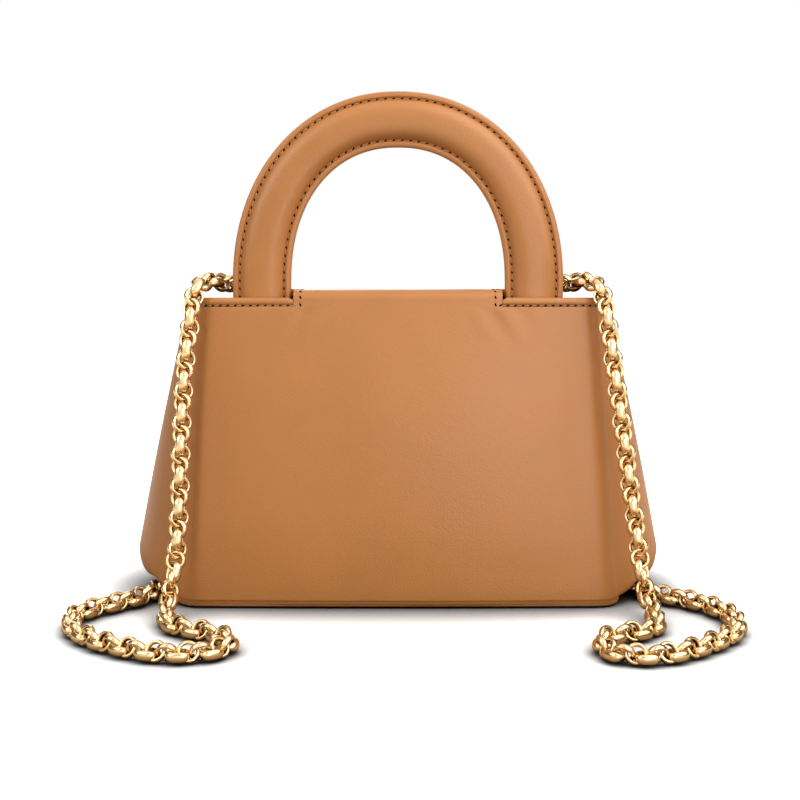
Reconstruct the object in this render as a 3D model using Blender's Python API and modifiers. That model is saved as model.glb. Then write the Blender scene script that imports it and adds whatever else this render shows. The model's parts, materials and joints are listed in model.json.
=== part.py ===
"""A small trapezoid handbag in smooth leather, with one padded arch handle and a long chain strap.

Run it with blender --background --python part.py, or from Blender's text editor.
X runs across the bag, the back panel faces -Y, the flap falls over the front at +Y, and Z is up.
The origin is under the middle of the base, on the table. All sizes are in metres.
"""

import math

import bmesh
import bpy
from mathutils import Matrix, Vector

# Fits and sheet goods
CLEARANCE = 0.0003
CUT_OVERRUN = 0.004
MERGE_DISTANCE = 0.00001
SMOOTH_DEGREES = 40
LEATHER = 0.0013
FACING = 0.0009
CLOTH = 0.0008

# Body walls: two leather shells that meet at the side seams
WALL = 0.0022
LINING_GAP = 0.0006
SIDE_SEAM_HEIGHT = 0.14525
MOUTH_FALL = 0.0035
DEPTH_TOP_HALF = 0.0335
DEPTH_FOOT_HALF = 0.0465
FACE_CROWN = 0.0008
FACE_TOP_HALF = 0.0955
FACE_FOOT_HALF = 0.108
SEAM_TOP_OUT = 0.0075
SEAM_TOP_HALF = FACE_TOP_HALF + SEAM_TOP_OUT
CORNER_TOP_RADIUS = 0.0085
CORNER_FOOT_RADIUS = 0.0133
SEAM_BOW = 0.0009
SIDE_BULGE_TOP = 0.001
SIDE_BULGE_LOW = 0.006
SIDE_BULGE_FOOT = 0.0004

# The sides stand off the table in a folded wing, so that the chain can run below it
WING_HALF = 0.1303
WING_HEIGHT = 0.021
WING_ELBOW_IN = 0.0008
WING_ELBOW_DROP = 0.0055
WING_UNDERSIDE_IN = 0.0035
WING_UNDERSIDE = 0.0103
WING_UNDERSIDE_FALL = 0.0005
FOOT_OUT = 0.0005
FOOT_HALF = FACE_FOOT_HALF + FOOT_OUT
WING_ELBOW_HALF = WING_HALF - WING_ELBOW_IN
WING_ELBOW_HEIGHT = WING_HEIGHT - WING_ELBOW_DROP
WING_UNDERSIDE_HALF = WING_HALF - WING_UNDERSIDE_IN

# Base
BASE_LEATHER = 0.002
BASE_BOARD = 0.002
BASE_BOARD_GAP = 0.0006

# Turned and stitched mouth edge, broken at the back where the flap leaves between the handle legs
EDGE_HEIGHT = 0.0034
EDGE_PROUD = 0.0004
EDGE_THICKNESS = 0.003
FLAP_NECK_HALF = 0.0492
NECK_GAP = 0.0006

# Mouth facing, lining and pocket
FACING_BAND_HEIGHT = 0.014
FACING_BAND_THICKNESS = 0.0014
FACING_BAND_DROP = 0.0012
POCKET_HALF = 0.058
POCKET_HEIGHT = 0.06
POCKET_DROP = 0.0052

# Handle: a flat padded arch between two superellipses
ARCH_SPRING_RISE = 0.00775
ARCH_NECK_GAP = 0.0016
ARCH_INNER_RISE = 0.064
ARCH_INNER_POWER = 2.2
ARCH_OUTER_POWER = 2.1
HANDLE_LEG_WIDTH = 0.0276
HANDLE_CROWN_WIDTH = 0.0259
HANDLE_LEG_LENGTH = 0.018
HANDLE_TAB_LENGTH = 0.0165
HANDLE_THICKNESS = 0.012
HANDLE_EDGE_THICKNESS = 0.0048
HANDLE_EDGE_ROUND = 0.0016
HANDLE_MARGIN = 0.0032
HANDLE_SKIN = 0.0013
HANDLE_BOARD = 0.0018
HANDLE_TAB_INSET = 0.005
HANDLE_NOTCH_GAP = 0.0008
HANDLE_STATIONS = 18
ARCH_SPRING_HEIGHT = SIDE_SEAM_HEIGHT + ARCH_SPRING_RISE
ARCH_INNER_HALF = FLAP_NECK_HALF + ARCH_NECK_GAP
ARCH_OUTER_HALF = ARCH_INNER_HALF + HANDLE_LEG_WIDTH
ARCH_OUTER_RISE = ARCH_INNER_RISE + HANDLE_CROWN_WIDTH
# The handle stands just inside the back wall, and its legs go down behind the turned edge
HANDLE_MIDDLE = -(DEPTH_TOP_HALF - WALL - CLEARANCE - HANDLE_THICKNESS / 2)
LEG_MIDDLE = (ARCH_INNER_HALF + ARCH_OUTER_HALF) / 2
HANDLE_LEG_END = ARCH_SPRING_HEIGHT - HANDLE_LEG_LENGTH
HANDLE_TAB_END = HANDLE_LEG_END - HANDLE_TAB_LENGTH

# Handle sockets and rivets inside the mouth
SOCKET_HALF_WIDTH = 0.0125
SOCKET_FLOOR = 0.0007
SOCKET_BACK_WALL = 0.0045
RIVET_RADIUS = 0.0016
RIVET_HEAD_RADIUS = 0.0032
RIVET_HEAD = 0.001
RIVET_SPREAD = 0.0055
SOCKET_TOP = HANDLE_LEG_END - 2 * CLEARANCE
SOCKET_HEIGHT = HANDLE_TAB_LENGTH + SOCKET_FLOOR
POCKET_HIGH = SOCKET_TOP - SOCKET_HEIGHT - POCKET_DROP
POCKET_LOW = POCKET_HIGH - POCKET_HEIGHT

# Flap
FLAP_TOP_RISE = 0.00515
FLAP_CREASE_FALL = 0.0035
FLAP_TOP_HEIGHT = SIDE_SEAM_HEIGHT + FLAP_TOP_RISE
FLAP_CREASE_HEIGHT = FLAP_TOP_HEIGHT - FLAP_CREASE_FALL
FLAP_ROLL = 0.0012
FLAP_ROLL_REACH = 0.0048
FLAP_FALL_POWER = 1.5
FLAP_BACK_OVERHANG = 0.0004
NECK_LENGTH = 0.0262
NECK_FLARE = 0.003
FLAP_HALF = 0.076
FLAP_FACE_GAP = 0.0012
FLAP_DROP = 0.068
FLAP_DRAW_IN = 0.014
FLAP_FOOT_HALF = FLAP_HALF - FLAP_DRAW_IN
FLAP_FOOT_RADIUS = 0.026
FLAP_FOOT_STEPS = 6
FACING_SETBACK = 0.0012

# Turn lock
LOCK_DROP = 0.0549
LOCK_HEIGHT = FLAP_CREASE_HEIGHT - LOCK_DROP
LOCK_HOUSING_LENGTH = 0.0146
LOCK_HOUSING_WIDTH = 0.0068
LOCK_BAR_END_STEP = 0.0008
LOCK_BAR_SIDE_STEP = 0.0011
LOCK_BAR_LENGTH = LOCK_HOUSING_LENGTH - 2 * LOCK_BAR_END_STEP
LOCK_BAR_WIDTH = LOCK_HOUSING_WIDTH - 2 * LOCK_BAR_SIDE_STEP
LOCK_BAR_THICKNESS = 0.0024
LOCK_BAR_GAP = 0.0004
SPINDLE_RADIUS = 0.0016
WASHER_RADIUS = 0.0055
WASHER_THICKNESS = 0.0008
CLIP_RADIUS = 0.003
CLIP_THICKNESS = 0.001
SLOT_END_GAP = 0.0011
SLOT_SIDE_GAP = 0.0009
EYELET_END_RIM = 0.0056
EYELET_SIDE_RIM = 0.0047
SLOT_LENGTH = LOCK_HOUSING_LENGTH + 2 * SLOT_END_GAP
SLOT_WIDTH = LOCK_HOUSING_WIDTH + 2 * SLOT_SIDE_GAP
EYELET_LENGTH = SLOT_LENGTH + 2 * EYELET_END_RIM
EYELET_WIDTH = SLOT_WIDTH + 2 * EYELET_SIDE_RIM
EYELET_THICKNESS = 0.0012
PLATE_BEVEL = 0.0004

# Chain studs on the middle of the handle legs, and their rings
STUD_DROP = 0.0015
STUD_HEIGHT = ARCH_SPRING_HEIGHT - STUD_DROP
STUD_FLANGE_RADIUS = 0.0042
STUD_FLANGE = 0.0012
STUD_SHANK_RADIUS = 0.0012
STUD_SHANK = 0.0032
STUD_HEAD_RADIUS = 0.0023
STUD_HEAD = 0.0012
RING_RADIUS = 0.0033
RING_WIRE_RADIUS = 0.0009

# Shoulder chain, as the tube that its links fill
CHAIN_RADIUS = 0.0045
CHAIN_POINT_SPACING = 0.0165
CHAIN_BEVEL_RESOLUTION = 2
ROUTE_STEPS = 20
# The route of the chain's middle, chosen by hand from the left ring to the right ring
CHAIN_ROUTE = [
    (-0.0706, -0.0142, 0.1515),
    (-0.0775, -0.0146, 0.1524),
    (-0.0846, -0.0190, 0.1535),
    (-0.0905, -0.0270, 0.1541),
    (-0.0940, -0.0355, 0.1516),
    (-0.0960, -0.0392, 0.1440),
    (-0.0972, -0.0402, 0.1330),
    (-0.0990, -0.0416, 0.1190),
    (-0.1002, -0.0430, 0.1040),
    (-0.1010, -0.0444, 0.0890),
    (-0.1016, -0.0460, 0.0730),
    (-0.1020, -0.0478, 0.0570),
    (-0.1027, -0.0500, 0.0410),
    (-0.1038, -0.0528, 0.0255),
    (-0.1060, -0.0590, 0.0115),
    (-0.1058, -0.0700, 0.0054),
    (-0.1030, -0.0830, 0.0046),
    (-0.0960, -0.0920, 0.0046),
    (-0.0870, -0.0975, 0.0046),
    (-0.0780, -0.1040, 0.0046),
    (-0.0722, -0.1130, 0.0046),
    (-0.0738, -0.1225, 0.0046),
    (-0.0825, -0.1290, 0.0046),
    (-0.0950, -0.1305, 0.0046),
    (-0.1080, -0.1265, 0.0046),
    (-0.1210, -0.1185, 0.0046),
    (-0.1330, -0.1080, 0.0046),
    (-0.1425, -0.0945, 0.0046),
    (-0.1472, -0.0795, 0.0046),
    (-0.1445, -0.0665, 0.0046),
    (-0.1360, -0.0550, 0.0046),
    (-0.1270, -0.0455, 0.0046),
    (-0.1195, -0.0340, 0.0046),
    (-0.1160, -0.0190, 0.0046),
    (-0.1155, 0.0000, 0.0046),
    (-0.1160, 0.0220, 0.0046),
    (-0.1165, 0.0420, 0.0046),
    (-0.1080, 0.0570, 0.0046),
    (-0.0900, 0.0630, 0.0046),
    (-0.0600, 0.0645, 0.0046),
    (-0.0200, 0.0640, 0.0046),
    (0.0200, 0.0640, 0.0046),
    (0.0600, 0.0645, 0.0046),
    (0.0900, 0.0630, 0.0046),
    (0.1080, 0.0570, 0.0046),
    (0.1165, 0.0420, 0.0046),
    (0.1160, 0.0220, 0.0046),
    (0.1155, 0.0000, 0.0046),
    (0.1170, -0.0180, 0.0046),
    (0.1215, -0.0310, 0.0046),
    (0.1300, -0.0400, 0.0046),
    (0.1400, -0.0490, 0.0046),
    (0.1485, -0.0630, 0.0046),
    (0.1518, -0.0800, 0.0046),
    (0.1480, -0.0965, 0.0046),
    (0.1385, -0.1100, 0.0046),
    (0.1270, -0.1215, 0.0046),
    (0.1150, -0.1300, 0.0046),
    (0.1020, -0.1335, 0.0046),
    (0.0910, -0.1300, 0.0046),
    (0.0868, -0.1200, 0.0046),
    (0.0895, -0.1085, 0.0046),
    (0.0985, -0.1020, 0.0046),
    (0.1085, -0.0965, 0.0046),
    (0.1155, -0.0860, 0.0046),
    (0.1165, -0.0720, 0.0054),
    (0.1150, -0.0600, 0.0115),
    (0.1130, -0.0530, 0.0255),
    (0.1112, -0.0502, 0.0410),
    (0.1088, -0.0480, 0.0575),
    (0.1066, -0.0464, 0.0740),
    (0.1044, -0.0448, 0.0900),
    (0.1024, -0.0434, 0.1040),
    (0.1004, -0.0420, 0.1180),
    (0.0986, -0.0406, 0.1310),
    (0.0968, -0.0396, 0.1430),
    (0.0945, -0.0362, 0.1510),
    (0.0908, -0.0285, 0.1541),
    (0.0860, -0.0205, 0.1538),
    (0.0785, -0.0150, 0.1527),
    (0.0706, -0.0142, 0.1515),
]


def lerp(low, high, share):
    return low + (high - low) * share


def bow(share):
    """A parabola that is zero at both ends of a span and one at its middle."""
    return 4 * share * (1 - share)


def clear_scene():
    for obj in list(bpy.data.objects):
        bpy.data.objects.remove(obj, do_unlink=True)


def new_collection(name):
    collection = bpy.data.collections.new(name)
    bpy.context.scene.collection.children.link(collection)
    return collection


def make_material(name, color, roughness, metallic=0.0):
    material = bpy.data.materials.new(name)
    material.use_nodes = True
    shader = material.node_tree.nodes["Principled BSDF"]
    shader.inputs["Base Color"].default_value = (*color, 1.0)
    shader.inputs["Roughness"].default_value = roughness
    shader.inputs["Metallic"].default_value = metallic
    material.diffuse_color = (*color, 1.0)
    return material


def object_from_bmesh(name, mesh_builder, material, collection):
    """A mesh object with its faces pointing out, from a bmesh that is then freed."""
    bmesh.ops.recalc_face_normals(mesh_builder, faces=mesh_builder.faces)
    if mesh_builder.calc_volume(signed=True) < 0:
        bmesh.ops.reverse_faces(mesh_builder, faces=mesh_builder.faces)
    mesh = bpy.data.meshes.new(name)
    mesh_builder.to_mesh(mesh)
    mesh_builder.free()
    mesh.shade_smooth()
    mesh.set_sharp_from_angle(angle=math.radians(SMOOTH_DEGREES))
    mesh.materials.append(material)
    obj = bpy.data.objects.new(name, mesh)
    collection.objects.link(obj)
    return obj


def sheet_solid(name, outer, inner, material, collection, closed=False, floored=False):
    """A wall between two grids of points, row by row. A closed one runs round, a floored one has a bottom."""
    build = bmesh.new()
    outer = [[build.verts.new(point) for point in row] for row in outer]
    inner = [[build.verts.new(point) for point in row] for row in inner]
    count = len(outer[0])
    steps = range(count if closed else count - 1)
    for below, above in zip(range(len(outer) - 1), range(1, len(outer))):
        for grid in (outer, inner):
            for i in steps:
                j = (i + 1) % count
                build.faces.new((grid[below][i], grid[below][j], grid[above][j], grid[above][i]))
        if not closed:
            for i in (0, count - 1):
                build.faces.new((outer[below][i], outer[above][i], inner[above][i], inner[below][i]))
    for i in steps:
        j = (i + 1) % count
        build.faces.new((outer[-1][i], outer[-1][j], inner[-1][j], inner[-1][i]))
        if not floored:
            build.faces.new((outer[0][i], outer[0][j], inner[0][j], inner[0][i]))
    if floored:
        build.faces.new(outer[0])
        build.faces.new(inner[0])
    return object_from_bmesh(name, build, material, collection)


def cut(obj, cutter):
    modifier = obj.modifiers.new(cutter.name, "BOOLEAN")
    modifier.operation = "DIFFERENCE"
    modifier.object = cutter


def move_to_collection(obj, collection):
    for owner in list(obj.users_collection):
        owner.objects.unlink(obj)
    collection.objects.link(obj)


def hide_cutter(obj):
    obj.hide_render = True
    obj.display_type = "WIRE"


def box_cutter(name, size, place, collection, turn=Matrix.Identity(4)):
    """A box of this size that cuts, turned and then placed."""
    bpy.ops.mesh.primitive_cube_add(size=1)
    cutter = bpy.context.object
    cutter.name = name
    cutter.data.transform(Matrix.Translation(place) @ turn @ Matrix.Diagonal((*size, 1)))
    move_to_collection(cutter, collection)
    hide_cutter(cutter)
    return cutter


# The body's outline


def height_share(height):
    return height / SIDE_SEAM_HEIGHT


def face_depth(height):
    return lerp(DEPTH_FOOT_HALF, DEPTH_TOP_HALF, height_share(height))


def mouth_height(y, drop):
    """The mouth lies in one plane that falls from the back edge to the front edge."""
    return SIDE_SEAM_HEIGHT - MOUTH_FALL * y / (2 * DEPTH_TOP_HALF) - drop


def seam_half(height):
    share = (height - WING_HEIGHT) / (SIDE_SEAM_HEIGHT - WING_HEIGHT)
    return lerp(WING_HALF, SEAM_TOP_HALF, share) + SEAM_BOW * bow(share)


def side_bulge(height):
    share = (height - WING_HEIGHT) / (SIDE_SEAM_HEIGHT - WING_HEIGHT)
    return lerp(SIDE_BULGE_LOW, SIDE_BULGE_TOP, share)


SIDE_SHARES = (0.25, 0.5, 0.75)
ARC_SHARES = (0, 0.33, 0.67, 1)
FACE_SHARES = (0.8,)


def quarter_outline(height, seam, bulge, inset):
    """Points (x, y) of the wall's outline in the quarter where both are positive, from the side seam
    round the corner to the middle of the face. Inset moves the outline into the wall."""
    share = height_share(height)
    radius = lerp(CORNER_FOOT_RADIUS, CORNER_TOP_RADIUS, share)
    centre = Vector((lerp(FACE_FOOT_HALF, FACE_TOP_HALF, share) - radius, face_depth(height) - radius))
    radius -= inset
    start = Vector((seam - inset, 0))
    reach = start - centre
    turn = math.acos(radius / reach.length) - math.atan2(-reach.y, reach.x)
    normal = Vector((math.cos(turn), math.sin(turn)))
    tangent = centre + radius * normal
    points = [Vector((start.x, CLEARANCE / 2))]
    for side in SIDE_SHARES:
        points.append(start.lerp(tangent, side) + normal * bulge * bow(side))
    for arc in ARC_SHARES:
        angle = lerp(turn, math.pi / 2, arc)
        points.append(centre + radius * Vector((math.cos(angle), math.sin(angle))))
    neck = FLAP_NECK_HALF + NECK_GAP
    for x in [centre.x * share for share in FACE_SHARES] + [neck, neck / 2, 0]:
        crown = FACE_CROWN * (1 - (x / centre.x) ** 2)
        points.append(Vector((x, centre.y + radius + crown)))
    return points


SHELL_ROW_SHARES = (0, 0.13, 0.3, 0.5, 0.7, 0.86)
LINING_ROW_SHARES = (0, 0.3, 0.65)


def wall_rows(top_drop, inset, low=None, shares=SHELL_ROW_SHARES):
    """Rows (height, seam, bulge, drop) from the foot to the mouth. Only the last row has a drop."""
    rows = [
        (BASE_LEATHER + CLEARANCE if low is None else low, FOOT_HALF, SIDE_BULGE_FOOT, None),
        (WING_UNDERSIDE - WING_UNDERSIDE_FALL + inset, FOOT_HALF, SIDE_BULGE_FOOT, None),
        (WING_UNDERSIDE + inset, WING_UNDERSIDE_HALF, SIDE_BULGE_LOW, None),
        (WING_ELBOW_HEIGHT, WING_ELBOW_HALF, SIDE_BULGE_LOW, None),
    ]
    for share in shares:
        height = lerp(WING_HEIGHT, SIDE_SEAM_HEIGHT - FACING_BAND_HEIGHT / 2, share)
        rows.append((height, seam_half(height), side_bulge(height), None))
    return rows + [mouth_row(top_drop)]


def mouth_row(drop):
    """A row that follows the mouth's plane at a drop below it."""
    height = SIDE_SEAM_HEIGHT - drop
    return (height, seam_half(height), side_bulge(min(height, SIDE_SEAM_HEIGHT)), drop)


def outline_row(row, inset, facing, from_x=None):
    """One row of wall points on the half that faces -Y or +Y, from the right seam to the left one,
    or only as far as from_x on the right."""
    height, seam, bulge, drop = row
    quarter = quarter_outline(height, seam, bulge, inset)
    flat = [(p.x, p.y * facing) for p in quarter]
    if from_x is None:
        flat += [(-x, y) for x, y in reversed(flat[:-1])]
    else:
        flat = [(x, y) for x, y in flat if x > from_x]
    return [(x, y, height if drop is None else mouth_height(y, drop)) for x, y in flat]


def make_shell(name, facing, material, collection):
    """One half of the body: a face and half of each side, in one piece of leather on its stiffener."""
    top_drop = EDGE_HEIGHT + CLEARANCE if facing > 0 else -FLAP_BACK_OVERHANG
    outer = [outline_row(row, 0, facing) for row in wall_rows(top_drop, 0)]
    inner = [outline_row(row, WALL, facing) for row in wall_rows(top_drop, WALL)]
    return sheet_solid(name, outer, inner, material, collection)


def make_edge(name, facing, side, material, collection):
    """The turned edge that caps the wall: all along the front, or on one side of the neck at the back."""
    from_x = None if facing > 0 else FLAP_NECK_HALF + NECK_GAP / 2
    rows = []
    for inset in (-EDGE_PROUD, EDGE_THICKNESS - EDGE_PROUD):
        grid = []
        for drop in (EDGE_HEIGHT, 0):
            row = outline_row(mouth_row(drop), inset, facing, from_x)
            grid.append([(x * side, y, z) for x, y, z in row])
        rows.append(grid)
    return sheet_solid(name, rows[0], rows[1], material, collection)


def make_edge_cutter(side, collection):
    """Takes the back wall down to the foot of its turned edge, beside the flap's neck."""
    name = "left_edge_cut" if side < 0 else "right_edge_cut"
    length = SEAM_TOP_HALF + CUT_OVERRUN - FLAP_NECK_HALF
    depth = 2 * (DEPTH_TOP_HALF + CUT_OVERRUN)
    height = 2 * CUT_OVERRUN
    fall = math.atan2(MOUTH_FALL, 2 * DEPTH_TOP_HALF)
    middle = mouth_height(0, EDGE_HEIGHT + CLEARANCE) + height / 2
    place = (side * (FLAP_NECK_HALF + length / 2), 0, middle)
    return box_cutter(name, (length, depth, height), place, collection, Matrix.Rotation(-fall, 4, "X"))


def foot_outline(inset, height):
    """The closed outline of the foot, as a list of points."""
    quarter = [(p.x, p.y) for p in quarter_outline(height, FOOT_HALF, SIDE_BULGE_FOOT, inset)]
    half = quarter + [(-x, y) for x, y in reversed(quarter[:-1])]
    return half + [(x, -y) for x, y in reversed(half)]


def make_plate(name, outline, thickness, matrix, material, collection, bevel=0, holes=()):
    """A flat outline with a thickness, as a filled curve made a mesh, then placed. Its bottom is at zero."""
    curve = bpy.data.curves.new(name, "CURVE")
    curve.dimensions = "2D"
    curve.fill_mode = "BOTH"
    curve.extrude = thickness / 2
    for loop in (outline, *holes):
        spline = curve.splines.new("POLY")
        spline.points.add(len(loop) - 1)
        for point, (x, y) in zip(spline.points, loop):
            point.co = (x, y, 0, 1)
        spline.use_cyclic_u = True
    guide = bpy.data.objects.new(name, curve)
    collection.objects.link(guide)
    graph = bpy.context.evaluated_depsgraph_get()
    mesh = bpy.data.meshes.new_from_object(guide.evaluated_get(graph))
    bpy.data.objects.remove(guide, do_unlink=True)
    build = bmesh.new()
    build.from_mesh(mesh)
    bpy.data.meshes.remove(mesh)
    bmesh.ops.remove_doubles(build, verts=build.verts, dist=MERGE_DISTANCE)
    bmesh.ops.translate(build, verts=build.verts, vec=(0, 0, thickness / 2))
    bmesh.ops.transform(build, verts=build.verts, matrix=matrix)
    obj = object_from_bmesh(name, build, material, collection)
    if bevel:
        modifier = obj.modifiers.new("Edge", "BEVEL")
        modifier.width = bevel
        modifier.segments = 1
        modifier.limit_method = "ANGLE"
    return obj


def make_turned(name, profile, matrix, material, collection, segments=16):
    """A turned piece: a profile (radius, height) from its top to its bottom, swept round Z and placed."""
    build = bmesh.new()
    verts = [build.verts.new((radius, 0, height)) for radius, height in profile]
    for first, second in zip(verts, verts[1:]):
        build.edges.new((first, second))
    mesh = bpy.data.meshes.new(name)
    build.to_mesh(mesh)
    build.free()
    mesh.materials.append(material)
    obj = bpy.data.objects.new(name, mesh)
    collection.objects.link(obj)
    screw = obj.modifiers.new("Turn", "SCREW")
    screw.steps = segments
    screw.render_steps = segments
    screw.use_merge_vertices = True
    screw.merge_threshold = MERGE_DISTANCE
    screw.use_smooth_shade = False
    obj.matrix_world = matrix
    return obj


def rounded_box_outline(length, width, radius, corner_points=5):
    """A rectangle with round corners: length along x, width along y."""
    points = []
    for sx, sy, first in ((1, 1, 0), (-1, 1, 90), (-1, -1, 180), (1, -1, 270)):
        for i in range(corner_points):
            angle = math.radians(first + 90 * i / (corner_points - 1))
            x = sx * (length / 2 - radius) + radius * math.cos(angle)
            y = sy * (width / 2 - radius) + radius * math.sin(angle)
            points.append((x, y))
    return points


# Body


def make_body(leather, cloth, board, parts, cutters):
    back = make_shell("back_shell", -1, leather, parts)
    front = make_shell("front_shell", 1, leather, parts)
    for side in (-1, 1):
        cut(back, make_edge_cutter(side, cutters))
    make_edge("back_left_edge", -1, -1, leather, parts)
    make_edge("back_right_edge", -1, 1, leather, parts)
    make_edge("front_edge", 1, 1, leather, parts)
    foot = foot_outline(0, 0)
    make_plate("base_panel", foot, BASE_LEATHER, Matrix.Identity(4), leather, parts, PLATE_BEVEL)
    board_low = BASE_LEATHER + CLEARANCE
    board_outline = foot_outline(WALL + BASE_BOARD_GAP, 0)
    make_plate("base_board", board_outline, BASE_BOARD, Matrix.Translation((0, 0, board_low)), board, parts)
    lining = make_lining(board_low + BASE_BOARD + CLEARANCE, cloth, parts)
    facing = make_mouth_facing(leather, parts)
    make_pocket(cloth, parts)
    return front, lining, facing


def full_ring(row, inset):
    back = outline_row(row, inset, -1)
    front = outline_row(row, inset, 1)
    return back + list(reversed(front))


def make_lining(low, cloth, collection):
    """A cloth bag inside the walls and over the base board, up to the mouth facing."""
    drop = FACING_BAND_DROP + FACING_BAND_HEIGHT + CLEARANCE
    inset = WALL + LINING_GAP
    grids = []
    for depth, foot in ((inset, low), (inset + CLOTH, low + CLOTH)):
        grids.append([full_ring(row, depth) for row in wall_rows(drop, depth, foot, LINING_ROW_SHARES)])
    outer, inner = grids
    return sheet_solid("lining", outer, inner, cloth, collection, closed=True, floored=True)


def make_mouth_facing(leather, collection):
    """A leather band that finishes the inside of the mouth above the lining."""
    inset = WALL + LINING_GAP + EDGE_PROUD
    grids = []
    for depth in (inset, inset + FACING_BAND_THICKNESS):
        drops = (FACING_BAND_DROP + FACING_BAND_HEIGHT, FACING_BAND_DROP)
        grids.append([full_ring(mouth_row(drop), depth) for drop in drops])
    return sheet_solid("mouth_facing", grids[0], grids[1], leather, collection, closed=True)


ACROSS_SHARES = (-1, -0.5, 0, 0.5, 1)


def make_pocket(cloth, collection):
    """A flat slip pocket on the lining of the back."""
    near = WALL + LINING_GAP + CLOTH + CLEARANCE
    grids = []
    for inset in (near, near + CLOTH):
        rows = []
        for height in (POCKET_LOW, (POCKET_LOW + POCKET_HIGH) / 2, POCKET_HIGH):
            y = inset - face_depth(height)
            rows.append([(POCKET_HALF * share, y, height) for share in ACROSS_SHARES])
        grids.append(rows)
    sheet_solid("inner_pocket", grids[0], grids[1], cloth, collection)


# Handle


def arch_station(angle, across):
    """A point (x, z) of the arch at an angle from its right spring. Across runs from its inside, or if
    it is negative from its outside."""
    ends = []
    for half, rise, power in (
        (ARCH_INNER_HALF, ARCH_INNER_RISE, ARCH_INNER_POWER),
        (ARCH_OUTER_HALF, ARCH_OUTER_RISE, ARCH_OUTER_POWER),
    ):
        cosine, sine = math.cos(angle), math.sin(angle)
        x = half * math.copysign(abs(cosine) ** (2 / power), cosine)
        ends.append(Vector((x, ARCH_SPRING_HEIGHT + rise * abs(sine) ** (2 / power))))
    band = ends[1] - ends[0]
    return ends[0] + band.normalized() * across if across >= 0 else ends[1] + band.normalized() * across


def band_width(angle):
    return (arch_station(angle, -CLEARANCE / 2) - arch_station(angle, CLEARANCE / 2)).length + CLEARANCE


def handle_path(leg_end):
    """Stations along the handle from the right leg's end to the left one: (angle, drop below the spring)."""
    drop = ARCH_SPRING_HEIGHT - leg_end
    angles = [math.pi * i / HANDLE_STATIONS for i in range(HANDLE_STATIONS + 1)]
    return [(0, drop)] + [(angle, 0) for angle in angles] + [(math.pi, drop)]


def handle_surface(leg_end, section):
    """Rows of points along the handle. The section gives (across, depth) pairs for a band's width."""
    rows = []
    for angle, drop in handle_path(leg_end):
        width = band_width(angle)
        row = []
        for across, depth in section(width):
            flat = arch_station(angle, across)
            row.append((flat.x, HANDLE_MIDDLE + depth, flat.y - drop))
        rows.append(row)
    return rows


DOME_SHARES = (0, 0.12, 0.3, 0.5, 0.7, 0.88, 1)


def dome_height(share):
    return (1 - (2 * share - 1) ** 4) ** 0.5


def cover_section(inset, facing):
    """The skin of one face: down the band's edge, over a flat stitched margin and over the padded dome."""

    def section(width):
        edge = HANDLE_EDGE_THICKNESS / 2 - inset
        full = HANDLE_THICKNESS / 2 - inset
        round_off = HANDLE_EDGE_ROUND - inset
        points = [(inset, CLEARANCE / 2), (inset, edge - round_off), (inset + round_off, edge)]
        for share in DOME_SHARES:
            across = lerp(HANDLE_MARGIN, width - HANDLE_MARGIN, share)
            points.append((across, lerp(edge, full, dome_height(share))))
        points += [(width - inset - round_off, edge), (width - inset, edge - round_off)]
        points.append((width - inset, CLEARANCE / 2))
        return [(across, depth * facing) for across, depth in points]

    return section


def pad_section(facing, inner):
    """The foam on one face of the board: flat below, domed above."""

    def section(width):
        low = HANDLE_BOARD / 2 + CLEARANCE
        edge = HANDLE_EDGE_THICKNESS / 2 - HANDLE_SKIN - CLEARANCE
        high = HANDLE_THICKNESS / 2 - HANDLE_SKIN - CLEARANCE
        points = []
        for share in DOME_SHARES:
            across = lerp(HANDLE_MARGIN + LEATHER, width - HANDLE_MARGIN - LEATHER, share)
            depth = low if inner else max(lerp(edge, high, dome_height(share)), low + CLEARANCE)
            points.append((across, depth * facing))
        return points

    return section


def board_section(face, inset):
    def section(width):
        depth = face * HANDLE_BOARD / 2
        return [(inset, depth), (width / 2, depth), (width - inset, depth)]

    return section


def make_handle(leather, foam, board, parts, cutters):
    for name, facing in (("front", -1), ("back", 1)):
        outer = handle_surface(HANDLE_LEG_END, cover_section(0, facing))
        inner = handle_surface(HANDLE_LEG_END, cover_section(HANDLE_SKIN, facing))
        sheet_solid(f"handle_{name}_cover", outer, inner, leather, parts)
        low = handle_surface(HANDLE_LEG_END, pad_section(facing, True))
        high = handle_surface(HANDLE_LEG_END, pad_section(facing, False))
        sheet_solid(f"handle_{name}_pad", high, low, foam, parts)
    inset = HANDLE_SKIN + CLEARANCE
    front = handle_surface(HANDLE_LEG_END, board_section(-1, inset))
    back = handle_surface(HANDLE_LEG_END, board_section(1, inset))
    for grid in (front, back):
        extend_tabs(grid)
    core = sheet_solid("handle_core", front, back, board, parts)
    for side, name in ((-1, "left"), (1, "right")):
        socket = make_socket(f"{name}_handle_socket", side, board, parts)
        cutter = make_rivet_cutter(f"{name}_rivet_cut", side, board, cutters)
        slot = make_tab_cutter(f"{name}_tab_cut", side, cutters)
        cut(socket, slot)
        cut(socket, cutter)
        cut(core, cutter)


def tab_rows(end):
    """The two rows of the narrower tab below one leg of the board, from the leg's last row."""
    x_in, x_out = (end[0][0], end[-1][0])
    pull = math.copysign(HANDLE_TAB_INSET, x_out)
    xs = (x_in + pull, (x_in + x_out) / 2, x_out - pull)
    return [[(x, end[0][1], z) for x in xs] for z in (HANDLE_LEG_END - CLEARANCE, HANDLE_TAB_END)]


def extend_tabs(grid):
    """Adds a tab below each leg of the board."""
    right, left = tab_rows(grid[0]), tab_rows(grid[-1])
    grid[:0] = reversed(right)
    grid.extend(left)


def socket_back():
    return HANDLE_MIDDLE + HANDLE_BOARD / 2 + SOCKET_BACK_WALL


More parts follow.
